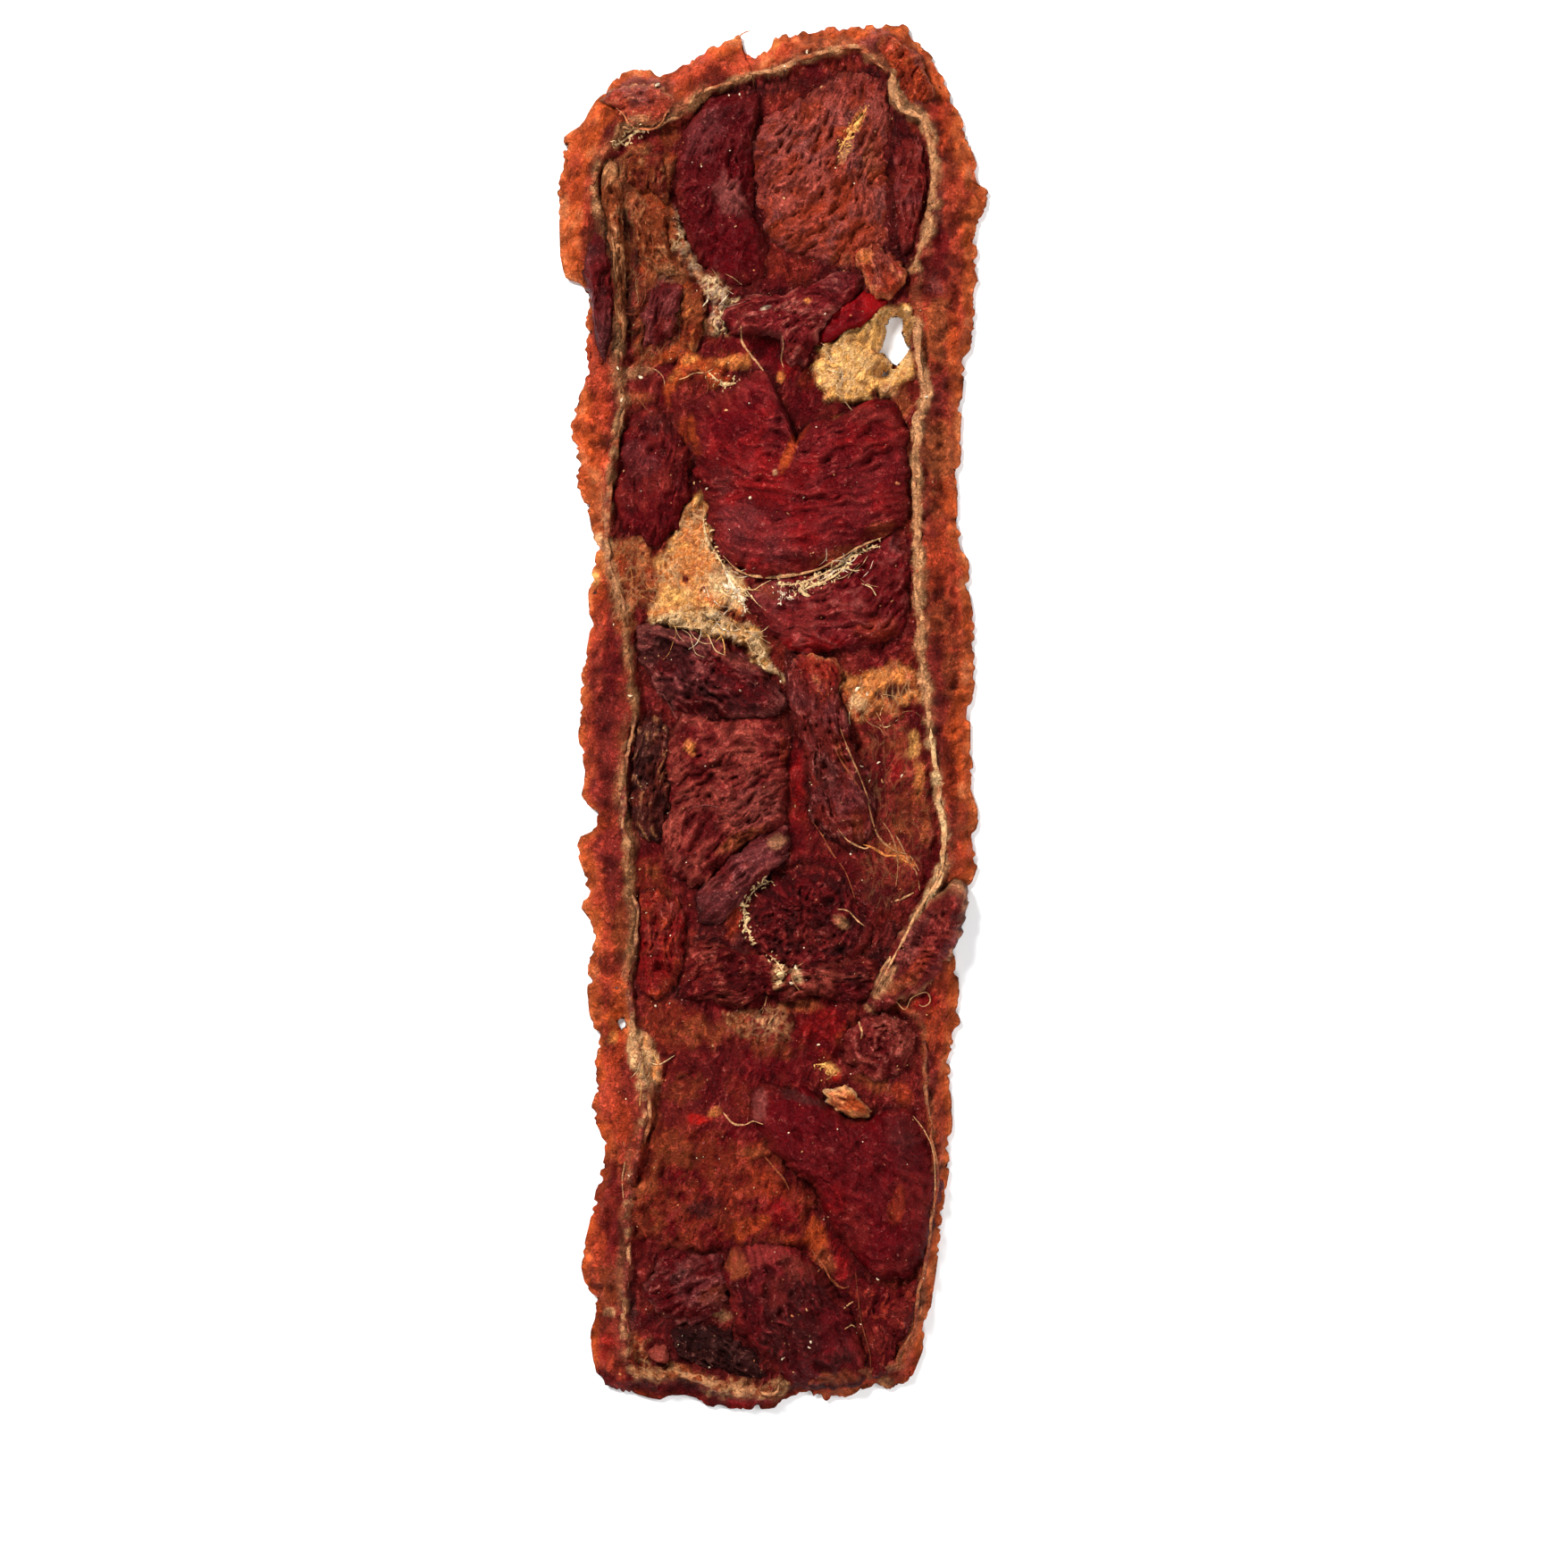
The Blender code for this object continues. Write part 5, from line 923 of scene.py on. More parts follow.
def smooth_route(points, step):
    """Points a step apart on a smooth curve through a route's own points."""
    points = np.array(points, dtype=float)
    before = np.vstack([2.0 * points[0] - points[1], points[:-1]])
    after = np.vstack([points[1:], 2.0 * points[-1] - points[-2]])
    found = [points[:1]]
    for index in range(len(points) - 1):
        start, end = points[index], points[index + 1]
        leave = (end - before[index]) / 2.0
        arrive = (after[index + 1] - start) / 2.0
        count = max(int(np.linalg.norm(end - start) / step), 1)
        t = (np.arange(1, count + 1) / count)[:, None]
        found.append(
            (2 * t ** 3 - 3 * t ** 2 + 1) * start + (t ** 3 - 2 * t ** 2 + t) * leave
            + (3 * t ** 2 - 2 * t ** 3) * end + (t ** 3 - t ** 2) * arrive)
    return np.vstack(found)


def outline_reader(outline):
    """The middle of an outline, and a function from a heading to the outline's distance."""
    corners = np.array(outline, dtype=float)
    middle = corners.mean(axis=0)
    shares = np.linspace(0.0, 1.0, 40, endpoint=False)[:, None, None]
    spokes = mix(corners, np.roll(corners, -1, axis=0), shares).reshape(-1, 2) - middle
    headings = np.arctan2(spokes[:, 1], spokes[:, 0])
    degree = ((headings + math.pi) * 180.0 / math.pi).astype(int) % 360
    furthest = np.zeros(360)
    np.maximum.at(furthest, degree, np.hypot(spokes[:, 0], spokes[:, 1]))
    read = np.flatnonzero(furthest)
    sampled = np.interp(np.arange(360), read, furthest[read], period=360)
    softened = sum(np.roll(sampled, shift) for shift in range(-3, 4)) / 7.0
    fine = np.radians(np.arange(360) + 0.5) - math.pi

    def distance(heading):
        return np.interp(heading, fine, softened, period=2.0 * math.pi)

    return middle, distance


def sheet_place(u, v):
    """Where points of the unit square lie on the strip, stretched between its four edges."""
    def read(points, place):
        places, offsets = zip(*points)
        return np.interp(place, places, offsets)

    y_left = mix(LEFT_EDGE[0][0], LEFT_EDGE[-1][0], v)
    y_right = mix(RIGHT_EDGE[0][0], RIGHT_EDGE[-1][0], v)
    x_bottom = mix(BOTTOM_EDGE[0][0], BOTTOM_EDGE[-1][0], u)
    x_top = mix(TOP_EDGE[0][0], TOP_EDGE[-1][0], u)
    lower = [mix(BOTTOM_EDGE[0][axis], BOTTOM_EDGE[-1][axis], u) for axis in (0, 1)]
    upper = [mix(TOP_EDGE[0][axis], TOP_EDGE[-1][axis], u) for axis in (0, 1)]
    x = mix(read(LEFT_EDGE, y_left), read(RIGHT_EDGE, y_right), u) + mix(x_bottom, x_top, v)
    y = mix(y_left, y_right, u) + mix(read(BOTTOM_EDGE, x_bottom), read(TOP_EDGE, x_top), v)
    x = x - mix(lower[0], upper[0], v)
    y = y - mix(lower[1], upper[1], v)
    beside = ease((np.abs(2.0 * u - 1.0) - 0.86) / 0.14) * np.sign(u - 0.5)
    beyond = ease((np.abs(2.0 * v - 1.0) - 0.97) / 0.03) * np.sign(v - 0.5)
    teeth = TOOTH * ease(0.8 * rough(x, y, 0.6, 91, 2) + 0.5 * rough(x, y, 1.9, 92, 2) + 0.2)
    return x - teeth * beside, y - teeth * beyond


def grain_of(x, y, course):
    """Where points lie along and across the fibres of a muscle, in millimetres."""
    kind, first, second = course
    if kind == "along":
        heading = math.radians(first)
        along = x * math.cos(heading) + y * math.sin(heading)
        across = y * math.cos(heading) - x * math.sin(heading)
        across = across + second * (along - along.mean()) ** 2 / 20.0
    else:
        along = np.arctan2(y - second, x - first) * ROUND_COURSE_RADIUS
        across = np.hypot(x - first, y - second)
    across = across + 0.8 * blotches(x, y, 3.3, 401) + 0.3 * blotches(x, y, 1.2, 402)
    return along, across


def flesh(x, y, course, seed):
    """Wrinkles and finer threads along the fibres, from 0 to 1, and soft pads, from -1 to 1."""
    along, across = grain_of(x, y, course)
    wrinkles = creases(along * 0.45, across, 0.95, seed)
    threads = creases(along * 0.4, across, 0.42, seed + 7, 2)
    return wrinkles, threads, rough(x, y, 2.7, seed + 13)


def grain_vector(x, y, course):
    """The fibre coordinates that the materials read: long streaks a fraction of a millimetre wide."""
    along, across = grain_of(x, y, course)
    if course[0] == "along":
        return np.stack([along * ALONG_STREAKS, across * ACROSS_STREAKS, np.zeros(x.shape)], axis=1)
    angle = along / ROUND_COURSE_RADIUS
    radius = ALONG_STREAKS * ROUND_COURSE_RADIUS
    return np.stack(
        [radius * np.cos(angle), radius * np.sin(angle), across * ACROSS_STREAKS], axis=1)


class Coat:
    """The colour and feel of a piece, laid on its points in layers."""

    def __init__(self, x, y, paint):
        self.x = x
        self.y = y
        self.colour = np.tile(linear(paint), (len(x), 1))
        # How strongly the materials paint highlights and glints on the crests
        self.painted_sheen = np.full(len(x), 0.5)
        self.gloss = np.full(len(x), 0.25)
        self.rib = np.full(len(x), 0.6)
        self.lace = np.zeros((len(x), 3))

    def lay(self, paint, mask):
        """Lays a paint on where the mask is 1."""
        mask = clamp(mask)[:, None]
        self.colour = self.colour * (1.0 - mask) + linear(paint) * mask

    def shade(self, factor):
        """Makes the colour lighter or darker."""
        self.colour = self.colour * np.asarray(factor)[:, None]

    def feel(self, mask, painted_sheen=None, gloss=None, rib=None):
        """Changes the painted sheen, the gloss and the ribbing where the mask is 1."""
        mask = clamp(mask)
        if painted_sheen is not None:
            self.painted_sheen = mix(self.painted_sheen, painted_sheen, mask)
        if gloss is not None:
            self.gloss = mix(self.gloss, gloss, mask)
        if rib is not None:
            self.rib = mix(self.rib, rib, mask)

    def weave(self, mask, rounded, drawn_out, pale):
        """A fine web where the mask is 1: how much of it is round, how much long, and how pale."""
        self.lace = mix(self.lace, np.array([rounded, drawn_out, pale]), clamp(mask)[:, None])

    def paint_crumple_shading(self, wrinkles, threads, hollow, crest_highlight, strength):
        """A paint in the hollows of the flesh as painted shade, and another on its crests as painted
        highlight.
        """
        shaded_hollows = ease((0.5 - wrinkles) / 0.26)
        painted_crest_highlights = ease((wrinkles - 0.58) / 0.26) * ease((threads - 0.25) / 0.4)
        self.lay(hollow, 0.62 * strength * shaded_hollows)
        self.lay(crest_highlight, 0.62 * strength * painted_crest_highlights)
        # Darker in the hollows and lighter on the crests: painted shading
        self.shade(1.08 + strength * (0.7 * (wrinkles - 0.5) + 0.5 * (threads - 0.5)))
        self.feel(strength * shaded_hollows, painted_sheen=0.15, gloss=0.5)

    def lay_spot(self, spot, seed):
        """Lays an uneven oval spot, given by a row of the tables of stains, painted shadows and
        painted sheen.
        """
        cx, cy, half_length, half_width, turn, paint, strength = spot
        heading = math.radians(turn)
        dx, dy = self.x - cx, self.y - cy
        along = (dx * math.cos(heading) + dy * math.sin(heading)) / half_length
        across = (dy * math.cos(heading) - dx * math.sin(heading)) / half_width
        ragged = 0.5 * rough(self.x, self.y, 1.0, seed, 3)
        mask = strength * ease((1.3 - np.hypot(along, across) + ragged) / 0.6)
        self.lay(paint, mask)
        if paint in ("blood", "scarlet", "maroon"):
            self.feel(mask, painted_sheen=0.15, gloss=0.6, rib=0.3)


def write_coat(mesh, coat, course):
    """Stores a coat and its fibre coordinates as the mesh's own attributes."""
    feel = np.stack([coat.painted_sheen, coat.gloss, coat.rib], axis=1)
    for name, values in (("paint", clamp(coat.colour)), ("feel", feel), ("lace", coat.lace)):
        rows = np.ones((len(values), 4), dtype=np.float32)
        rows[:, :3] = values
        stored = mesh.color_attributes.new(name, "FLOAT_COLOR", "POINT")
        stored.data.foreach_set("color", rows.ravel())
    grain = mesh.attributes.new("grain", "FLOAT_VECTOR", "POINT")
    vectors = grain_vector(coat.x, coat.y, course).astype(np.float32)
    grain.data.foreach_set("vector", vectors.ravel())


raster = np.zeros((RASTER_SIDE, RASTER_SIDE))


def raster_place(x, y):
    """Which cells of the map of heights points lie in."""
    ix = clamp(np.asarray(x) / RASTER_CELL + RASTER_SIDE / 2, 0, RASTER_SIDE - 1).astype(int)
    iy = clamp(np.asarray(y) / RASTER_CELL + RASTER_SIDE / 2, 0, RASTER_SIDE - 1).astype(int)
    return iy, ix


def note_heights(x, y, z):
    """Remembers how high a piece reaches, for what lies on it."""
    np.maximum.at(raster, raster_place(x, y), z)


def top_of(x, y):
    """The height of whatever is on top at each place."""
    return raster[raster_place(x, y)]


def piece_from(mesh, coat, z, course, finish):
    """Gives a mesh its points in metres and its coat, and makes it one of the strip's pieces."""
    points = np.stack([coat.x, coat.y, z], axis=1)
    write_coat(mesh, coat, course)
    mesh.vertices.foreach_set("co", (points * MM).astype(np.float32).ravel())
    mesh.polygons.foreach_set("use_smooth", np.ones(len(mesh.polygons), dtype=bool))
    mesh.materials.append(finish)
    mesh.update()
    obj = bpy.data.objects.new(mesh.name, mesh)
    bpy.context.scene.collection.objects.link(obj)
    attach(obj, "root")
    return obj


def skirted_grid(name, cells_across, cells_along, drop=None, closed=False):
    """A unit grid whose open edges are folded down; what is folded down lies at z = -1."""
    bm = bmesh.new()
    bmesh.ops.create_grid(bm, x_segments=cells_across, y_segments=cells_along, size=0.5)
    if drop is not None:
        places = np.array([vert.co for vert in bm.verts])
        gone = drop(places[:, 0] + 0.5, places[:, 1] + 0.5)
        lost = [vert for vert, is_gone in zip(bm.verts, gone) if is_gone]
        bmesh.ops.delete(bm, geom=lost, context="VERTS")
    rim = [edge for edge in bm.edges if edge.is_boundary]
    folded = bmesh.ops.extrude_edge_only(bm, edges=rim)["geom"]
    for item in folded:
        if isinstance(item, bmesh.types.BMVert):
            item.co.z = -1.0
    if closed:
        open_edges = [edge for edge in bm.edges if edge.is_boundary]
        bmesh.ops.holes_fill(bm, edges=open_edges, sides=0)
        bmesh.ops.recalc_face_normals(bm, faces=bm.faces)
    mesh = bpy.data.meshes.new(name)
    bm.to_mesh(mesh)
    bm.free()
    return mesh


def mesh_points(mesh):
    """A mesh's points as rows of three numbers."""
    points = np.empty(len(mesh.vertices) * 3, dtype=np.float32)
    mesh.vertices.foreach_get("co", points)
    return points.reshape(-1, 3).astype(float)


def grid_places(mesh):
    """Where a unit grid's points lie about its middle, and which of them are folded down."""
    unit = mesh_points(mesh)
    return unit[:, 0], unit[:, 1], unit[:, 2] < -0.5


class Wire:
    """A socket of a material that ordinary arithmetic can be written with."""

    def __init__(self, finish, socket):
        self.finish = finish
        self.socket = socket

    def other(self, index):
        """Another output of the same node."""
        return Wire(self.finish, self.socket.node.outputs[index])

    def reckon(self, operation, first, second):
        """A sum, product or the like of two wires or numbers."""
        return self.finish.node("ShaderNodeMath", {"operation": operation}, {0: first, 1: second})

    def __add__(self, value):
        return self.reckon("ADD", self, value)

    def __sub__(self, value):
        return self.reckon("SUBTRACT", self, value)

    def __rsub__(self, value):
        return self.reckon("SUBTRACT", value, self)

    def __mul__(self, value):
        return self.reckon("MULTIPLY", self, value)

    __radd__ = __add__
    __rmul__ = __mul__

    def at_least(self, value):
        return self.reckon("MAXIMUM", self, value)

    def magnitude(self):
        """The value without its sign."""
        return self.reckon("ABSOLUTE", self, 0.0)

    def between(self, low, high):
        """Rises smoothly from 0 at the low value to 1 at the high one."""
        inputs = {"Value": self, "From Min": low, "From Max": high}
        return self.finish.node("ShaderNodeMapRange", {"interpolation_type": "SMOOTHSTEP"}, inputs)


class Finish:
    """A material, put together from named nodes."""

    def __init__(self, name, constants):
        self.material = bpy.data.materials.new(name)
        self.material.use_nodes = True
        self.tree = self.material.node_tree
        self.surface = self.tree.nodes["Principled BSDF"]
        for socket, value in constants.items():
            self.surface.inputs[socket].default_value = value

    def node(self, kind, settings, inputs):
        """A new node with its settings and inputs; gives its first output."""
        made = self.tree.nodes.new(kind)
        for name, value in settings.items():
            setattr(made, name, value)
        for name, value in inputs.items():
            if isinstance(value, Wire):
                self.tree.links.new(value.socket, made.inputs[name])
            else:
                made.inputs[name].default_value = value
        return Wire(self, made.outputs[0])

    def attribute(self, name):
        return self.node("ShaderNodeAttribute", {"attribute_name": name}, {})

    def places(self):
        """Where a point is on the strip, in metres."""
        return self.node("ShaderNodeTexCoord", {}, {}).other(3)

    def noise(self, vector, scale, detail, roughness=0.55, swirl=0.0):
        """A cloudy pattern from 0 to 1."""
        inputs = {
            "Vector": vector, "Scale": scale, "Detail": detail, "Roughness": roughness,
            "Distortion": swirl}
        return self.node("ShaderNodeTexNoise", {}, inputs)

    def shaken(self, vector, scale, reach):
        """A vector pushed about by a noise, so that what is drawn with it wanders."""
        push = self.noise(vector, scale, 2.0).other(1)
        inputs = {0: push, 1: (reach, reach, reach), 2: vector}
        return self.node("ShaderNodeVectorMath", {"operation": "MULTIPLY_ADD"}, inputs)

    def cells(self, vector, scale):
        """How far a point is from the edge of its cell."""
        inputs = {"Vector": vector, "Scale": scale}
        return self.node("ShaderNodeTexVoronoi", {"feature": "DISTANCE_TO_EDGE"}, inputs)

    def webbed(self, colour, height, places, grain):
        """A colour and a height with the strands of dried fat over them."""
        rounded = self.node("ShaderNodeSeparateColor", {}, {0: self.attribute("lace")})
        drawn_out, pale = rounded.other(1), rounded.other(2)
        round_web = 1.0 - self.cells(self.shaken(places, 1100.0, 0.0009), ROUND_WEB).between(0.02, 0.2)
        long_web = 1.0 - self.cells(self.shaken(grain, 0.7, 1.3), 0.5).between(0.01, 0.1)
        strands = (round_web * rounded).at_least(long_web * drawn_out)
        colour = self.scaled(colour, 1.0 - (rounded.at_least(drawn_out) - strands) * 0.3)
        colour = self.blend(strands * 0.7, colour, STRAND_TINT)
        colour = self.blend(strands * pale * 0.8, colour, PALE_STRAND_TINT)
        return colour, height + strands * 0.8

    def scaled(self, colour, factor):
        """A colour made lighter or darker."""
        return self.node("ShaderNodeVectorMath", {"operation": "SCALE"}, {0: colour, 3: factor})

    def blend(self, share, colour, over):
        """A colour with another over it."""
        inputs = {0: share, 6: colour, 7: (*over, 1.0)}
        return self.node("ShaderNodeMix", {"data_type": "RGBA"}, inputs).other(2)

    def wear(self, wires):
        """Links what varies to the surface."""
        for socket, wire in wires.items():
            self.tree.links.new(wire.socket, self.surface.inputs[socket])

    def bump(self, height, depth):
        """The tilt that a height gives the surface, its depth in millimetres."""
        inputs = {"Strength": 1.0, "Distance": depth * MM, "Height": height}
        return self.node("ShaderNodeBump", {}, inputs)


def dried_meat(name, webbed):
    """Dark cured meat: fine streaks along the fibres, painted highlights on pale crests, painted
    glints, painted shade in the grooves and, on the strip, webs of fat.
    """
    finish = Finish(name, {"Specular IOR Level": 0.055})
    feel = finish.node("ShaderNodeSeparateColor", {}, {0: finish.attribute("feel")})
    painted_sheen, gloss, rib = feel, feel.other(1), feel.other(2)
    places = finish.places()
    grain = finish.attribute("grain").other(1)
    streaks = finish.noise(grain, 1.0, 4.0, 0.62) - 0.5
    pebbles = finish.noise(places, PEBBLES, 4.0, 0.65, 0.7) - 0.5
    grit = finish.noise(places, GRIT, 2.0, 0.6)
    grooves = pebbles.magnitude().between(0.0, 0.06) - 0.8
    # One height for the bumps that also scales the colour: random mottling, with painted shade in the
    # grooves and lighter bump tops
    bump_and_shade = streaks * rib * 3.8 + pebbles * 3.0 + grooves * 0.5 + (grit - 0.5) * 1.7
    calm = 1.0 - gloss * 0.85
    colour = finish.scaled(finish.attribute("paint"), (bump_and_shade * calm * 0.85 + 1.0).at_least(0.16))
    # Pale crests: a painted highlight
    painted_crest_highlights = bump_and_shade.between(0.5, 0.85) * painted_sheen * calm * 0.8
    colour = finish.blend(painted_crest_highlights, colour, CREST_HIGHLIGHT_TINT)
    # Pale specks: painted glints
    painted_glints = grit.between(0.69, 0.76) * painted_sheen * calm * 0.7
    colour = finish.blend(painted_glints, colour, GLINT_TINT)
    height = bump_and_shade * calm
    if webbed:
        colour, height = finish.webbed(colour, height, places, grain)
    finish.wear({
        "Base Color": colour, "Roughness": 0.5 - gloss * 0.22 - bump_and_shade * 0.1,
        "Normal": finish.bump(height, 0.24)})
    return finish.material


def dried_fat():
    """Pale dried fat and sinew: waxy, with small dents whose hollows are darkened as painted shade."""
    finish = Finish("dried_fat", {
        "Specular IOR Level": 0.2, "Subsurface Weight": 0.1,
        "Subsurface Radius": (1.0, 0.45, 0.2), "Subsurface Scale": 0.6 * MM})
    places = finish.places()
    dents = finish.noise(places, DENTS, 4.0, 0.65) - 0.5
    grit = finish.noise(places, FAT_GRIT, 2.0, 0.6) - 0.5
    # The dents' height also darkens the colour in them: painted shade
    bump_and_shade = dents * 2.6 + grit * 1.4
    colour = finish.scaled(finish.attribute("paint"), (bump_and_shade + 1.0).at_least(0.25))
    finish.wear({
        "Base Color": colour, "Roughness": 0.5 - bump_and_shade * 0.08, "Normal": finish.bump(bump_and_shade, 0.22)})
    return finish.material


HOLE_READERS = [outline_reader(hole) for hole in HOLES]


def in_a_hole(u, v):
    """Which points of the unit square fall in a hole of the strip."""
    x, y = sheet_place(u, v)
    inside = np.zeros(x.shape, dtype=bool)
    for middle, distance in HOLE_READERS:
        dx, dy = x - middle[0], y - middle[1]
        inside |= np.hypot(dx, dy) < distance(np.arctan2(dy, dx))
    return inside


def smooth_holes(x, y, cell):
    """Pulls the jagged edge of each hole onto its outline."""
    for middle, distance in HOLE_READERS:
        dx, dy = x - middle[0], y - middle[1]
        gap = np.hypot(dx, dy)
        reach = distance(np.arctan2(dy, dx))
        pulled = np.where(gap < reach + cell, reach / np.maximum(gap, 1e-6), 1.0)
        x, y = middle[0] + dx * pulled, middle[1] + dy * pulled
    return x, y


def near(x, y, loop, margin):
    """Which points are near enough to a loop to be worth measuring."""
    low = np.min(loop, axis=0) - margin
    high = np.max(loop, axis=0) + margin
    return np.flatnonzero((x > low[0]) & (x < high[0]) & (y > low[1]) & (y < high[1]))


def lay_ground(coat, z, name, seed):
    """One soft ground of fat or membrane in the recess: its pores, strands and paints."""
    rise, pore, strength, ground, patches, strands, loop = GROUNDS[name]
    chosen = near(coat.x, coat.y, loop, 1.5)
    x, y = coat.x[chosen], coat.y[chosen]
    shaken_x = x + 0.9 * rough(x, y, 1.7, seed)
    shaken_y = y + 0.9 * rough(x, y, 1.7, seed + 1)
    mask = ease((loop_depth(shaken_x, shaken_y, loop) + 0.35) / 0.7)
    net = web(shaken_x, shaken_y, pore, seed + 2)
    lumps = rough(x, y, 1.0, seed + 3)
    z[chosen] = z[chosen] + mask * (rise * (0.55 + 0.45 * net * strength + 0.25 * lumps))
    whole, patch, strand, dark = np.zeros((4, len(coat.x)))
    whole[chosen] = mask
    patch[chosen] = mask * ease(rough(x, y, 1.7, seed + 4) * 1.5 + 0.2)
    strand[chosen] = mask * strength * (0.35 + 0.65 * ease(lumps + 0.4)) * net
    dark[chosen] = mask * strength * ease(0.35 - net) * ease(rough(x, y, 0.9, seed + 6) + 0.2)
    coat.lay(ground, whole)
    coat.lay(patches, patch)
    coat.lay("brown", 0.5 * dark)
    coat.lay(strands, strand)
    woven = whole * ease(rough(coat.x, coat.y, 1.7, seed + 7) * 1.3 + 0.7)
    coat.weave(woven, *WEBS.get(name, (0.0, 0.0, 0.0)))
    coat.feel(whole, painted_sheen=0.15, gloss=0.2, rib=0.3)


def bed_relief(x, y, edge, recess, lumps, folds_of_flesh):
    """Height of the bed: thin rim, thicker border and the wrinkled floor of the recess."""
    wrinkles, threads, pads = folds_of_flesh
    z = mix(RIM_EDGE, RIM_THICKNESS, np.sqrt(ease(edge / 0.9)))
    z = mix(z, BORDER_TOP, ease((edge - 0.5) / BORDER_SLOPE))
    z = z + (0.24 * rough(x, y, 2.4, 12) + 0.6 * (lumps - 0.5)) * ease(edge / 1.0)
    z = z + 0.35 * ease((recess + 1.7) / 1.4)
    floor = RECESS_FLOOR + 0.3 * pads + 0.5 * (wrinkles - 0.5) + 0.14 * (threads - 0.5)
    z = mix(z, floor, ease((recess + 0.2) / RECESS_STEP))
    return z + 0.1 * rough(x, y, 0.8, 14) * ease(edge / 0.8)


def amber_width(x, y):
    """How wide the amber rim is beside each point."""
    width = np.where(
        x < 0.0, np.interp(y, *zip(*AMBER_LEFT)), np.interp(y, *zip(*AMBER_RIGHT)))
    width = mix(width, 2.2, ease((y - 61.0) / 3.0))
    return mix(width, 0.5, ease((-63.5 - y) / 2.0))


def paint_bed(coat, edge, recess, pads):
    """Lays the bed's paints, with a painted glow at the thin outer edge, and gives where its border
    and the border's amber rim are.
    """
    x, y = coat.x, coat.y
    width = amber_width(x, y)
    ragged = 0.55 * rough(x, y, 2.0, 21)
    rim = ease((width + ragged - edge) / 0.9)
    border = ease((0.4 - recess) / 0.7)
    coat.lay("plum", 0.8 * ease(rough(x, y, 2.2, 22) + 0.4))
    coat.lay("rust_dark", 0.7 * ease(rough(x, y, 2.8, 27) * 2.0 - 0.2))
    coat.lay("brick", border)
    coat.lay("plum", 0.85 * border * ease((edge - width - 0.3 + ragged) / 1.5))
    coat.lay("brown", 0.6 * border * (1.0 - rim) * ease(rough(x, y, 2.6, 23) * 1.6))
    coat.lay("amber", rim * border)
    coat.lay("deep_amber", 0.8 * rim * border * ease(rough(x, y, 3.2, 24) * 1.4 + 0.2))
    coat.lay("deep_amber", 0.8 * rim * border * ease((edge - 0.5 * width) / 1.2))
    coat.lay("pale_amber", 0.5 * rim * border * ease(rough(x, y, 1.6, 25) * 1.5 - 0.3))
    # Paler amber at the thin outer edge: a painted glow of light coming through it
    coat.lay("pale_amber", 0.35 * rim * border * ease((0.6 - edge) / 0.5))
    coat.lay("deep_amber", 0.8 * rim * border * ease((-30.0 - y) / 8.0) * (x < 0.0))
    coat.lay("maroon", 0.85 * border * ease((-64.6 - y) / 1.2) * ease((4.0 - x) / 3.0))
    coat.lay("olive_tan", 0.5 * ease((recess + 1.2) / 0.6) * border * ease(pads + 0.5))
    coat.feel(border, painted_sheen=0.3, gloss=0.35, rib=0.3)
    coat.feel(rim * border, painted_sheen=0.2, gloss=0.55, rib=0.15)
    return border, rim


def lay_ridge_foot(coat, z, route, radius, paints):
    """The uneven foot that a pale ridge stands on: its paints and a little height."""
    x, y = coat.x, coat.y
    chosen = near(x, y, route, 3.0)
    gap = route_distance(x[chosen], y[chosen], route)
    half_width = radius * (1.15 + 1.0 * rough(x[chosen], y[chosen], 1.3, 31))
    mask = np.zeros(len(x))
    mask[chosen] = ease((half_width - gap) / 0.45)
    coat.lay(paints[1], 0.85 * mask)
    coat.lay(paints[3], 0.8 * mask * ease(rough(x, y, 0.9, 32) * 1.6 + 0.2))
    coat.lay(paints[2], 0.7 * mask * ease(rough(x, y, 1.2, 33) * 1.8 - 0.5))
    coat.feel(mask, painted_sheen=0.1, gloss=0.1, rib=0.2)
    z += 0.4 * mask * (0.6 + 0.5 * rough(x, y, 0.7, 34))


def shade_under_folds(coat):
    """Darkens the bed under each fold and close beside it."""
    for fold in FOLDS.values():
        outline = fold[-1]
        chosen = near(coat.x, coat.y, outline, 1.0)
        depth = loop_depth(coat.x[chosen], coat.y[chosen], outline)
        gap = np.zeros(len(coat.x))
        gap[chosen] = ease((depth + 0.75) / 0.6)
        coat.shade(1.0 - 0.4 * gap)


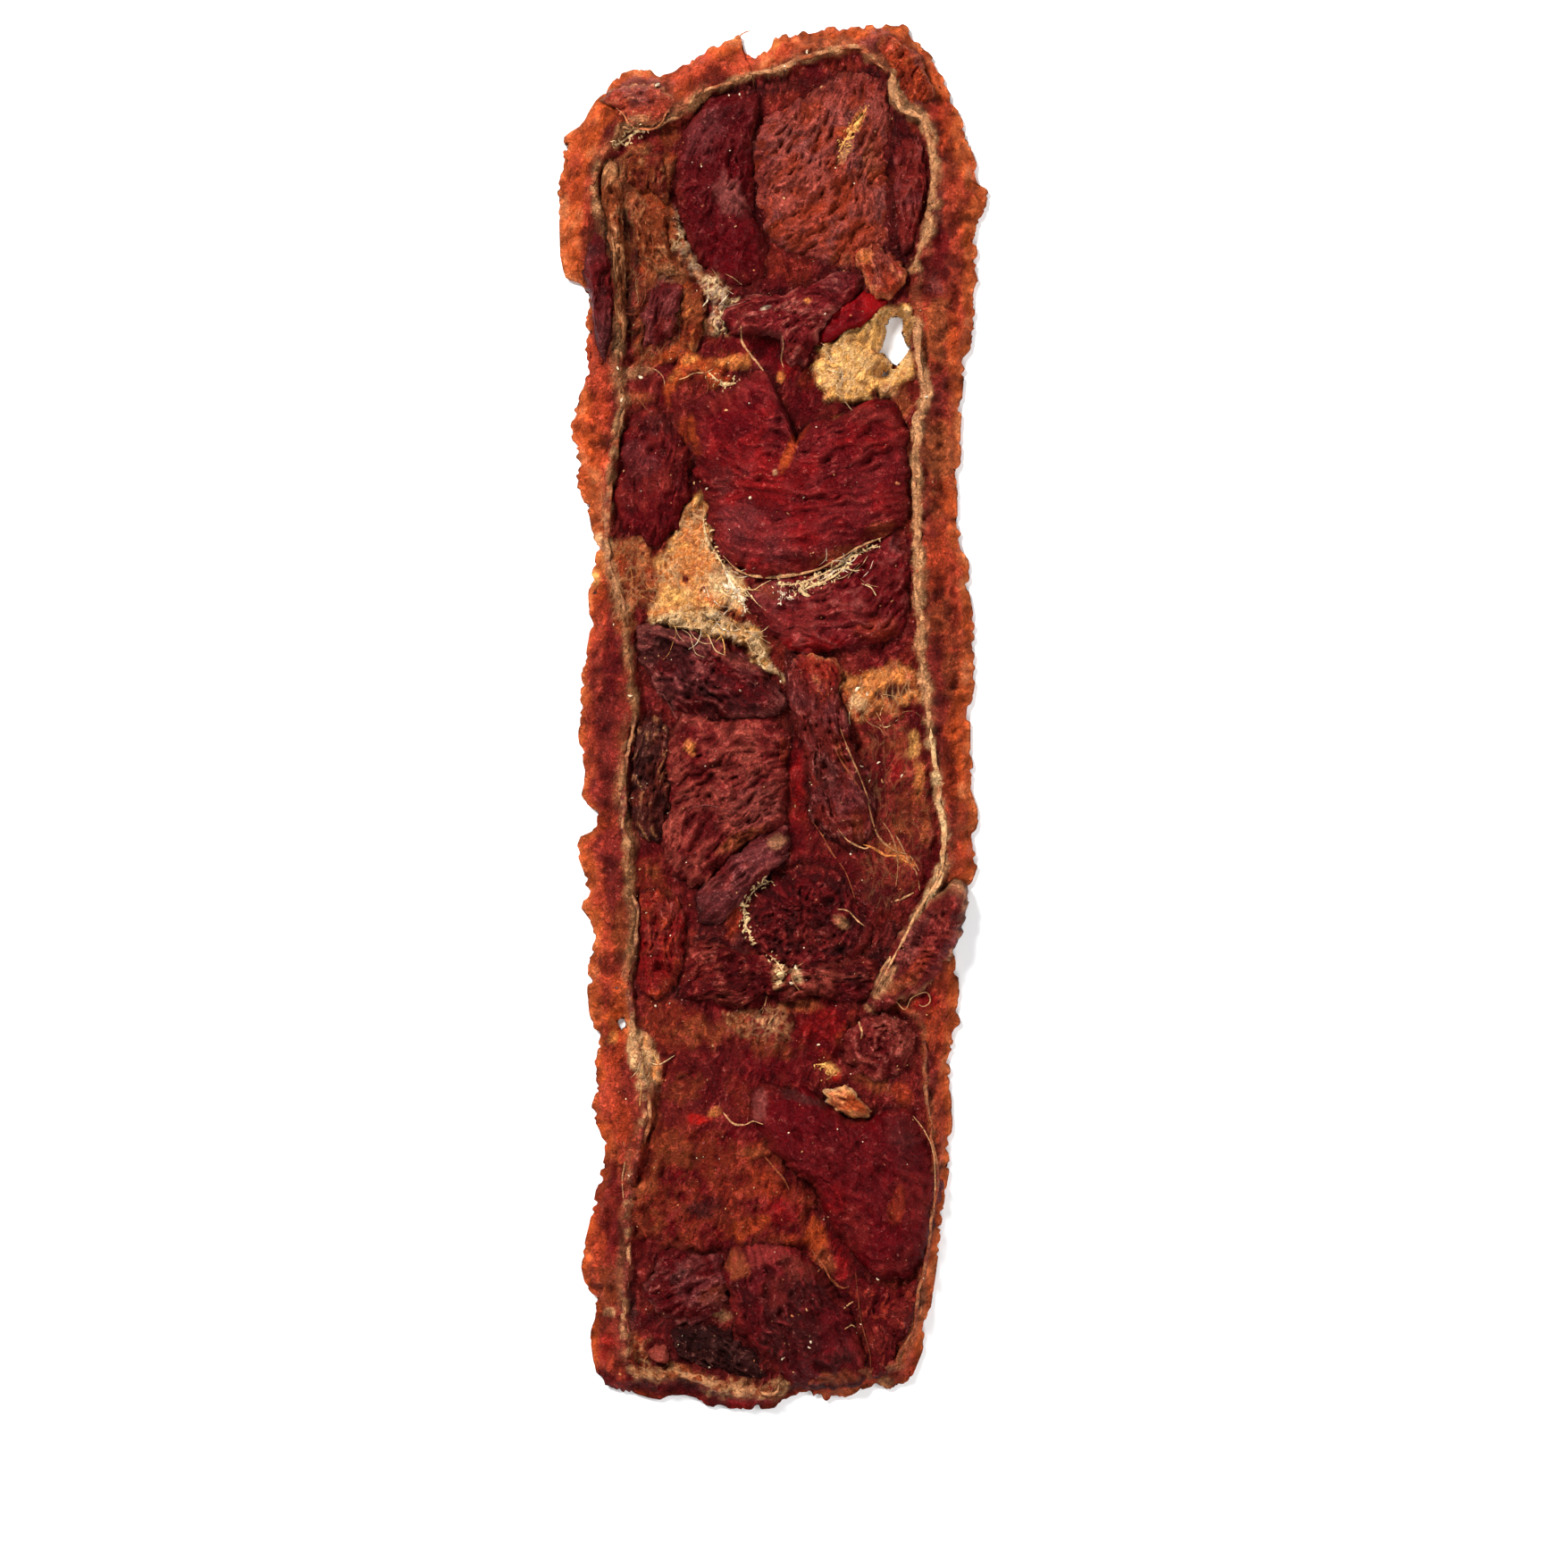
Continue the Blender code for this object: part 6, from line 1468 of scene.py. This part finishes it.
def strip_bed(finish):
    """The strip itself: thin amber rim, thicker border, recess with its fat, and the cut sides."""
    across = int(STRIP_SIZE[0] / BED_CELL * BED_FINER_ACROSS)
    along = int(STRIP_SIZE[1] / BED_CELL)
    mesh = skirted_grid("strip_bed", across, along, drop=in_a_hole)
    grid_x, grid_y, folded = grid_places(mesh)
    u = np.where(folded, clamp(grid_x + 0.5, 0.004, 0.996), grid_x + 0.5)
    v = np.where(folded, clamp(grid_y + 0.5, 0.001, 0.999), grid_y + 0.5)
    x, y = smooth_holes(*sheet_place(u, v), BED_CELL)

    edge = loop_depth(x, y, OUTLINE)
    for hole in HOLES:
        edge = np.minimum(edge, -loop_depth(x, y, hole))
    edge = np.maximum(edge, 0.0)
    shake = 0.35 * rough(x, y, 1.6, 11)
    recess = loop_depth(x + shake, y - shake, RIDGE_LOOP)
    wrinkles, threads, pads = flesh(x, y, BED_COURSE, 15)
    lumps = creases(x, y, 1.5, 16)
    z = bed_relief(x, y, edge, recess, lumps, (wrinkles, threads, pads))

    coat = Coat(x, y, "dark_plum")
    border, rim = paint_bed(coat, edge, recess, pads)
    for order, name in enumerate(GROUNDS):
        lay_ground(coat, z, name, 100 + 10 * order)
    for order, spot in enumerate(BED_STAINS_AND_SHADOWS):
        coat.lay_spot(spot, 500 + order)
    # Painted shade in the recess's wrinkles and painted highlight on their crests
    coat.paint_crumple_shading(wrinkles, threads, "maroon", "plum_rose", 0.9 * (1.0 - border))
    # Maroon in the border's hollows and deeper amber in the rim's: painted shade
    coat.lay("maroon", 0.4 * border * (1.0 - rim) * ease((0.5 - lumps) / 0.3))
    coat.lay("deep_amber", 0.5 * rim * border * ease((0.5 - lumps) / 0.3))
    for route, radius, _, paints in RIDGES.values():
        lay_ridge_foot(coat, z, route, radius, paints)
    shade_under_folds(coat)
    # Lighter on the border's lumps and darker between them: painted shading, with random tone over it
    coat.shade(1.0 + border * (0.8 * (lumps - 0.6) + 0.3 * rough(x, y, 0.7, 26)))

    z = mix(RIM_EDGE, z, ease(edge / 1.3))
    z[folded] = 0.05
    note_heights(x, y, z)
    return piece_from(mesh, coat, z, BED_COURSE, finish)


def strip_underside(finish):
    """The pressed side the strip lies on: flat, dull and plain."""
    across, along = (int(size / UNDERSIDE_CELL) for size in STRIP_SIZE)
    mesh = skirted_grid("strip_underside", across, along, drop=in_a_hole)
    grid_x, grid_y, folded = grid_places(mesh)
    u = clamp(grid_x + 0.5, 0.005, 0.995)
    v = clamp(grid_y + 0.5, 0.0014, 0.9986)
    x, y = smooth_holes(*sheet_place(u, v), UNDERSIDE_CELL)
    edge = loop_depth(x, y, OUTLINE)
    coat = Coat(x, y, "plum")
    coat.lay("brown", ease(rough(x, y, 4.0, 41) + 0.4))
    coat.lay("deep_amber", 0.8 * ease((2.4 + rough(x, y, 2.0, 42) - edge) / 1.6))
    coat.feel(np.ones(len(x)), painted_sheen=0.3, gloss=0.2, rib=0.8)
    z = 0.12 + 0.06 * rough(x, y, 1.6, 43)
    z[folded] = 0.3
    mesh.flip_normals()
    return piece_from(mesh, coat, z, PLAIN_COURSE, finish)


def fold_piece(name, seed, finish):
    """One fold of muscle: a domed pad with fibres, a standing edge, its own stains, and painted sheen,
    highlight and shade.
    """
    top, (hollow, crest_highlight), heading, lift, course, *paints, feel, outline = FOLDS[name]
    body, patches, edge_paint = paints
    strength = min(1.0, 0.25 + 0.9 * feel[2])
    middle, distance = outline_reader(outline)
    spread = np.ptp(np.array(outline), axis=0)
    cells = int(min(spread.max() / FLAP_CELL, MOST_FLAP_CELLS))
    mesh = skirted_grid("fold_" + name, cells, cells, closed=True)
    grid_x, grid_y, folded = grid_places(mesh)
    a, b = 2.0 * grid_x, 2.0 * grid_y
    p, q = a * np.sqrt(1.0 - b * b / 2.0), b * np.sqrt(1.0 - a * a / 2.0)
    r = np.minimum(np.hypot(p, q), 1.0)
    turn = np.arctan2(q, p)
    reach = distance(turn)
    rim_x, rim_y = reach * np.cos(turn), reach * np.sin(turn)
    ragged = 0.5 * rough(rim_x, rim_y, 1.8, seed) + 0.25 * rough(rim_x, rim_y, 0.6, seed + 9, 2)
    reach = reach * 1.05 + ease((r - 0.5) / 0.5) * ragged
    x, y = middle[0] + r * reach * np.cos(turn), middle[1] + r * reach * np.sin(turn)

    wrinkles, threads, pads = flesh(x, y, course, seed + 1)
    pebbles = rough(x, y, 0.8, seed + 4, 2)
    facing = np.cos(turn - math.radians(heading)) + 0.35 * rough(rim_x, rim_y, 3.0, seed + 6)
    steep = ease(1.0 + 0.6 * facing)
    crown = mix(ease((1.02 - r) / 0.55) ** 0.8, (1.0 - r ** 4.0) ** 0.5, steep)
    relief = strength * (1.0 * (wrinkles - 0.5) + 0.4 * (threads - 0.5))
    relief = relief + 0.34 * pads + 0.16 * pebbles
    standing = ease(facing) * ease((r - 0.45) / 0.4)
    z = FOLD_FOOT + (top - FOLD_FOOT) * crown + crown * (relief + lift * standing)
    z = np.maximum(z, FOLD_FOOT)
    z[folded] = FOLD_FOOT - 0.1

    coat = Coat(x, y, body)
    coat.lay(patches, 0.75 * ease(pads * 1.8 + 0.35))
    coat.lay(hollow, 0.6 * ease(rough(x, y, 2.1, seed + 8) * 2.2 - 0.4))
    coat.lay(edge_paint, 0.7 * ease((r - 0.74) / 0.2) * ease(rough(x, y, 1.8, seed + 5) + 0.5))
    coat.feel(np.ones(len(x)), *feel)
    for order, spot in enumerate(FOLD_STAINS_AND_SHEEN.get(name, [])):
        coat.lay_spot(spot, seed + 20 + order)
    # Painted shade in the wrinkles' hollows and painted highlight on their crests
    coat.paint_crumple_shading(wrinkles, threads, hollow, crest_highlight, strength)
    # Darker towards the fold's edge, except where it stands up: painted shade
    coat.shade(1.0 - 0.45 * ease((r - 0.86) / 0.14) * ease(0.9 - 0.8 * facing))
    note_heights(x, y, z)
    return piece_from(mesh, coat, z, course, finish)


def unit_tubes(name, around, along, count=1):
    """Closed tubes end to end; gives the mesh, and each point's tube, station and angle."""
    rows = count * (along + 1) - 1
    bm = bmesh.new()
    bmesh.ops.create_grid(bm, x_segments=around, y_segments=rows, size=0.5)
    gaps = [
        face for face in bm.faces
        if int((face.calc_center_median().y + 0.5) * rows) % (along + 1) == along]
    bmesh.ops.delete(bm, geom=gaps, context="FACES")
    for vert in bm.verts:
        angle = 2.0 * math.pi * vert.co.x
        vert.co = (math.sin(angle), -math.cos(angle), vert.co.y * rows)
    bmesh.ops.remove_doubles(bm, verts=bm.verts, dist=1e-4)
    bmesh.ops.holes_fill(bm, edges=[edge for edge in bm.edges if edge.is_boundary], sides=0)
    bmesh.ops.recalc_face_normals(bm, faces=bm.faces)
    mesh = bpy.data.meshes.new(name)
    bm.to_mesh(mesh)
    bm.free()
    unit = mesh_points(mesh)
    row = np.rint(unit[:, 2] + rows / 2.0).astype(int)
    angle = np.arctan2(unit[:, 1], unit[:, 0])
    return mesh, row // (along + 1), (row % (along + 1)) / along, angle


def tube_sides(centre, heading, size, angle):
    """Where the points of tubes lie beside their middle lines, seen from above."""
    side = size * np.cos(angle)
    return centre[:, 0] - heading[:, 1] * side, centre[:, 1] + heading[:, 0] * side


def run_ridge(name, route, radius, height, paints, finish, seed):
    """A rounded, flattened ridge along a route, its middle at one height above the floor."""
    line = smooth_route(route, THREAD_STEP)
    sway = [rough(line[:, 0], line[:, 1], 2.1, seed + 5), rough(line[:, 0], line[:, 1], 2.1, seed + 6)]
    line = line + 0.3 * np.stack(sway, axis=1)
    steps = len(line) - 1
    mesh, _, station, angle = unit_tubes(name, 9 if radius < 0.4 else 14, steps)
    place = np.rint(station * steps).astype(int)
    heading = np.gradient(line, axis=0)
    heading = heading / np.maximum(np.linalg.norm(heading, axis=1), 1e-9)[:, None]
    centre = line[place]
    from_end = np.minimum(station, 1.0 - station) * steps * THREAD_STEP
    size = radius * (0.3 + 0.7 * ease(from_end / 1.1))
    size = size * clamp(0.85 + 0.5 * rough(centre[:, 0], centre[:, 1], 3.4, seed), 0.2, 1.6)
    size = size * (1.0 + 0.3 * rough(1.6 * angle, station * steps * THREAD_STEP, 0.9, seed + 1))
    x, y = tube_sides(centre, heading[place], size, angle)
    z = height + size * RIDGE_FLATNESS * np.sin(angle)
    coat = Coat(x, y, paints[0])
    coat.lay(paints[1], ease(rough(x, y, 1.6, seed + 2) * 1.5 + 0.1))
    coat.lay(paints[2], 0.8 * ease(rough(x, y, 1.1, seed + 3) * 1.6 - 0.3))
    # Brown low on the ridge's sides: painted shade
    coat.lay("brown", 0.7 * ease(0.3 - np.sin(angle)))
    # The fourth paint along the ridge's top: painted highlight
    crest_highlight = ease(np.sin(angle) * 2.0 - 0.8)
    coat.lay(paints[3], 0.8 * crest_highlight * ease(rough(x, y, 0.9, seed + 7) + 0.4))
    coat.shade(1.0 + 0.3 * rough(x, y, 0.5, seed + 4))
    coat.feel(np.ones(len(x)), painted_sheen=0.35, gloss=0.25, rib=0.2)
    note_heights(x, y, z)
    return piece_from(mesh, coat, z, PLAIN_COURSE, finish)


def even_points(route, count):
    """Points evenly spaced along a smooth curve through a route."""
    line = smooth_route(route, 0.1)
    gone = np.concatenate([[0.0], np.cumsum(np.hypot(*np.diff(line, axis=0).T))])
    wanted = np.linspace(0.0, gone[-1], count)
    return np.stack([np.interp(wanted, gone, line[:, axis]) for axis in (0, 1)], axis=1)


def strand_bunch(name, strands, around, stations, finish, flat=0.7):
    """Many strands in one mesh, each given by its route, radius and paint."""
    mesh, strand, station, angle = unit_tubes(name, around, stations, len(strands))
    routes, radii, worn = zip(*strands)
    lines = np.array([even_points(route, stations + 1) for route in routes])
    headings = np.gradient(lines, axis=1)
    headings = headings / np.maximum(np.linalg.norm(headings, axis=2), 1e-9)[:, :, None]
    heights = np.maximum(top_of(lines[:, :, 0], lines[:, :, 1]), LOWEST_STRAND)
    for _ in range(2):
        padded = np.pad(heights, ((0, 0), (1, 1)), mode="edge")
        heights = (padded[:, :-2] + padded[:, 1:-1] + padded[:, 2:]) / 3.0
    place = np.rint(station * stations).astype(int)
    centre = lines[strand, place]
    tapered = np.sqrt(np.sin(math.pi * clamp(station)))
    size = np.array(radii)[strand] * (0.2 + 0.8 * tapered)
    size = size * clamp(0.95 + 0.6 * rough(centre[:, 0], centre[:, 1], 0.9, 61), 0.3, 1.7)
    x, y = tube_sides(centre, headings[strand, place], size, angle)
    z = heights[strand, place] + size * flat * (np.sin(angle) - 0.1)
    coat = Coat(x, y, "tan")
    for paint in sorted(set(worn)):
        chosen = np.array([one == paint for one in worn], dtype=float)
        coat.lay(paint, chosen[strand])
    coat.shade(1.0 + 0.25 * rough(x, y, 0.6, 71))
    return piece_from(mesh, coat, z, PLAIN_COURSE, finish)


def short_bit(x, y, length, turn, bend):
    """The route of a short bit: its two ends, and its middle pushed aside."""
    reach = np.array([math.cos(turn), math.sin(turn)]) * length / 2.0
    aside = np.array([-math.sin(turn), math.cos(turn)]) * bend * length
    middle = np.array([x, y])
    return [middle - reach, middle + aside, middle + reach]


def flake_and_glint_list():
    """Tiny pale flakes and grains, partly real flecks and partly painted glints, and the bits large
    enough to be told apart.
    """
    dice = np.random.default_rng(11)
    paints = ["white_fat", "olive_tan", "tan", "mauve", "peach"]
    flakes_and_glints = []
    while len(flakes_and_glints) < FLAKES_AND_GLINTS:
        x = dice.uniform(-HALF_WIDTH, HALF_WIDTH)
        y = dice.uniform(*FLAKE_AND_GLINT_ENDS)
        paint = paints[int(dice.integers(len(paints)))]
        size = 0.05 * math.exp(dice.normal(0.0, 0.45))
        turn = dice.uniform(0.0, math.pi)
        if top_of(x, y) > FLAKE_AND_GLINT_GROUND:
            length = size * dice.uniform(2.0, 3.6)
            flakes_and_glints.append((short_bit(x, y, length, turn, 0.1), size, paint))
    for x, y, size in WHITE_BITS:
        turn = dice.uniform(0.0, math.pi)
        flakes_and_glints.append((short_bit(x, y, 2.0 * size, turn, 0.15), 0.45 * size, "white_fat"))
    return flakes_and_glints


def crumb_list():
    """Ragged crumbs of fat along the pale strands."""
    dice = np.random.default_rng(31)
    crumbs = []
    for radius, paint, route in THREADS:
        if paint not in ("cream", "white_fat", "straw"):
            continue
        for place in smooth_route(route, CRUMB_STEP):
            x, y = place + dice.normal(0.0, 0.16 + 0.5 * radius, 2)
            size = 0.065 * math.exp(dice.normal(0.0, 0.4))
            turn = dice.uniform(0.0, math.pi)
            if top_of(x, y) > STRAND_GROUND:
                length = size * dice.uniform(2.0, 6.0)
                crumbs.append((short_bit(x, y, length, turn, 0.2), size, paint))
    return crumbs


def net_list():
    """Wandering strands of the torn membranes, each patch with its own run."""
    dice = np.random.default_rng(23)
    strands = []
    for cx, cy, spread_x, spread_y, heading, count, length, paints in NETS:
        for _ in range(count):
            x = cx + spread_x * dice.uniform(-1, 1)
            y = cy + spread_y * dice.uniform(-1, 1)
            turn = math.radians(heading + dice.normal(0.0, 24.0))
            route = [np.array([x, y])]
            for _ in range(int(length * dice.uniform(0.5, 1.3)) + 2):
                turn += dice.normal(0.0, 0.42)
                route.append(route[-1] + np.array([math.cos(turn), math.sin(turn)]))
            inside = [
                point for point in route
                if top_of(*point) > STRAND_GROUND and abs(point[0]) < HALF_WIDTH]
            paint = paints[int(dice.integers(len(paints)))]
            radius = 0.05 * math.exp(dice.normal(0.0, 0.4))
            if len(inside) == len(route):
                strands.append((route, radius, paint))
    return strands


muscle = dried_meat("dried_muscle", False)
fat = dried_fat()
bed = strip_bed(dried_meat("dried_strip", True))
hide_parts(NODE)
strip_underside(muscle)
for order, name in enumerate(FOLDS):
    fold_piece(name, 1000 + 50 * order, muscle)
for order, (name, (route, radius, height, paints)) in enumerate(RIDGES.items()):
    run_ridge(
        "ridge_" + name, route, RIDGE_SHARE * radius, height, paints, fat, 3000 + 20 * order)
threads = [(route, THREAD_SHARE * radius, paint) for radius, paint, route in THREADS]
strand_bunch("pale_strands", threads, 9, 44, fat)
strand_bunch("fat_crumbs", crumb_list(), 6, 4, fat, 0.45)
strand_bunch("membrane_net", net_list(), 6, 18, fat)
strand_bunch("pale_flakes_and_glints", flake_and_glint_list(), 6, 4, fat, 0.6)


def soft_light(name, place, size, power):
    """A square soft light at a place, turned to face the middle of the strip."""
    lamp = bpy.data.lights.new(name, "AREA")
    lamp.size = size
    lamp.energy = power
    obj = bpy.data.objects.new(name, lamp)
    obj.location = place
    towards = Vector((0.0, 0.0, 0.0)) - Vector(place)
    obj.rotation_euler = towards.to_track_quat("-Z", "Y").to_euler()
    bpy.context.scene.collection.objects.link(obj)


def floor_sheet():
    """The pale table that the strip lies on."""
    bm = bmesh.new()
    bmesh.ops.create_grid(bm, x_segments=1, y_segments=1, size=1.5)
    mesh = bpy.data.meshes.new("pale_table")
    bm.to_mesh(mesh)
    bm.free()
    floor = bpy.data.objects.new("pale_table", mesh)
    finish = Finish("pale_table", {"Base Color": TABLE_TINT, "Specular IOR Level": 0.1})
    grain = finish.noise(finish.places(), 40.0, 2.0) - 0.5
    finish.wear({"Roughness": grain * 0.1 + 0.9})
    mesh.materials.append(finish.material)
    bpy.context.scene.collection.objects.link(floor)


floor_sheet()
for light in LIGHTS:
    soft_light(*light)

scene = bpy.context.scene
world = bpy.data.worlds.new("studio")
world.use_nodes = True
sky = world.node_tree.nodes["Background"]
sky.inputs["Color"].default_value = (1.0, 1.0, 1.0, 1.0)
sky.inputs["Strength"].default_value = SKY_STRENGTH
scene.world = world
scene.view_settings.view_transform = "Standard"

camera_data = bpy.data.cameras.new("camera")
camera_data.sensor_width = SENSOR_WIDTH
camera_data.lens = SENSOR_WIDTH * CAMERA_DISTANCE / FRAME_WIDTH
camera = bpy.data.objects.new("camera", camera_data)
camera.location = (
    FRAME_MIDDLE[0] * MM, FRAME_MIDDLE[1] * MM, (SURFACE_HEIGHT + CAMERA_DISTANCE) * MM)
scene.collection.objects.link(camera)
scene.camera = camera
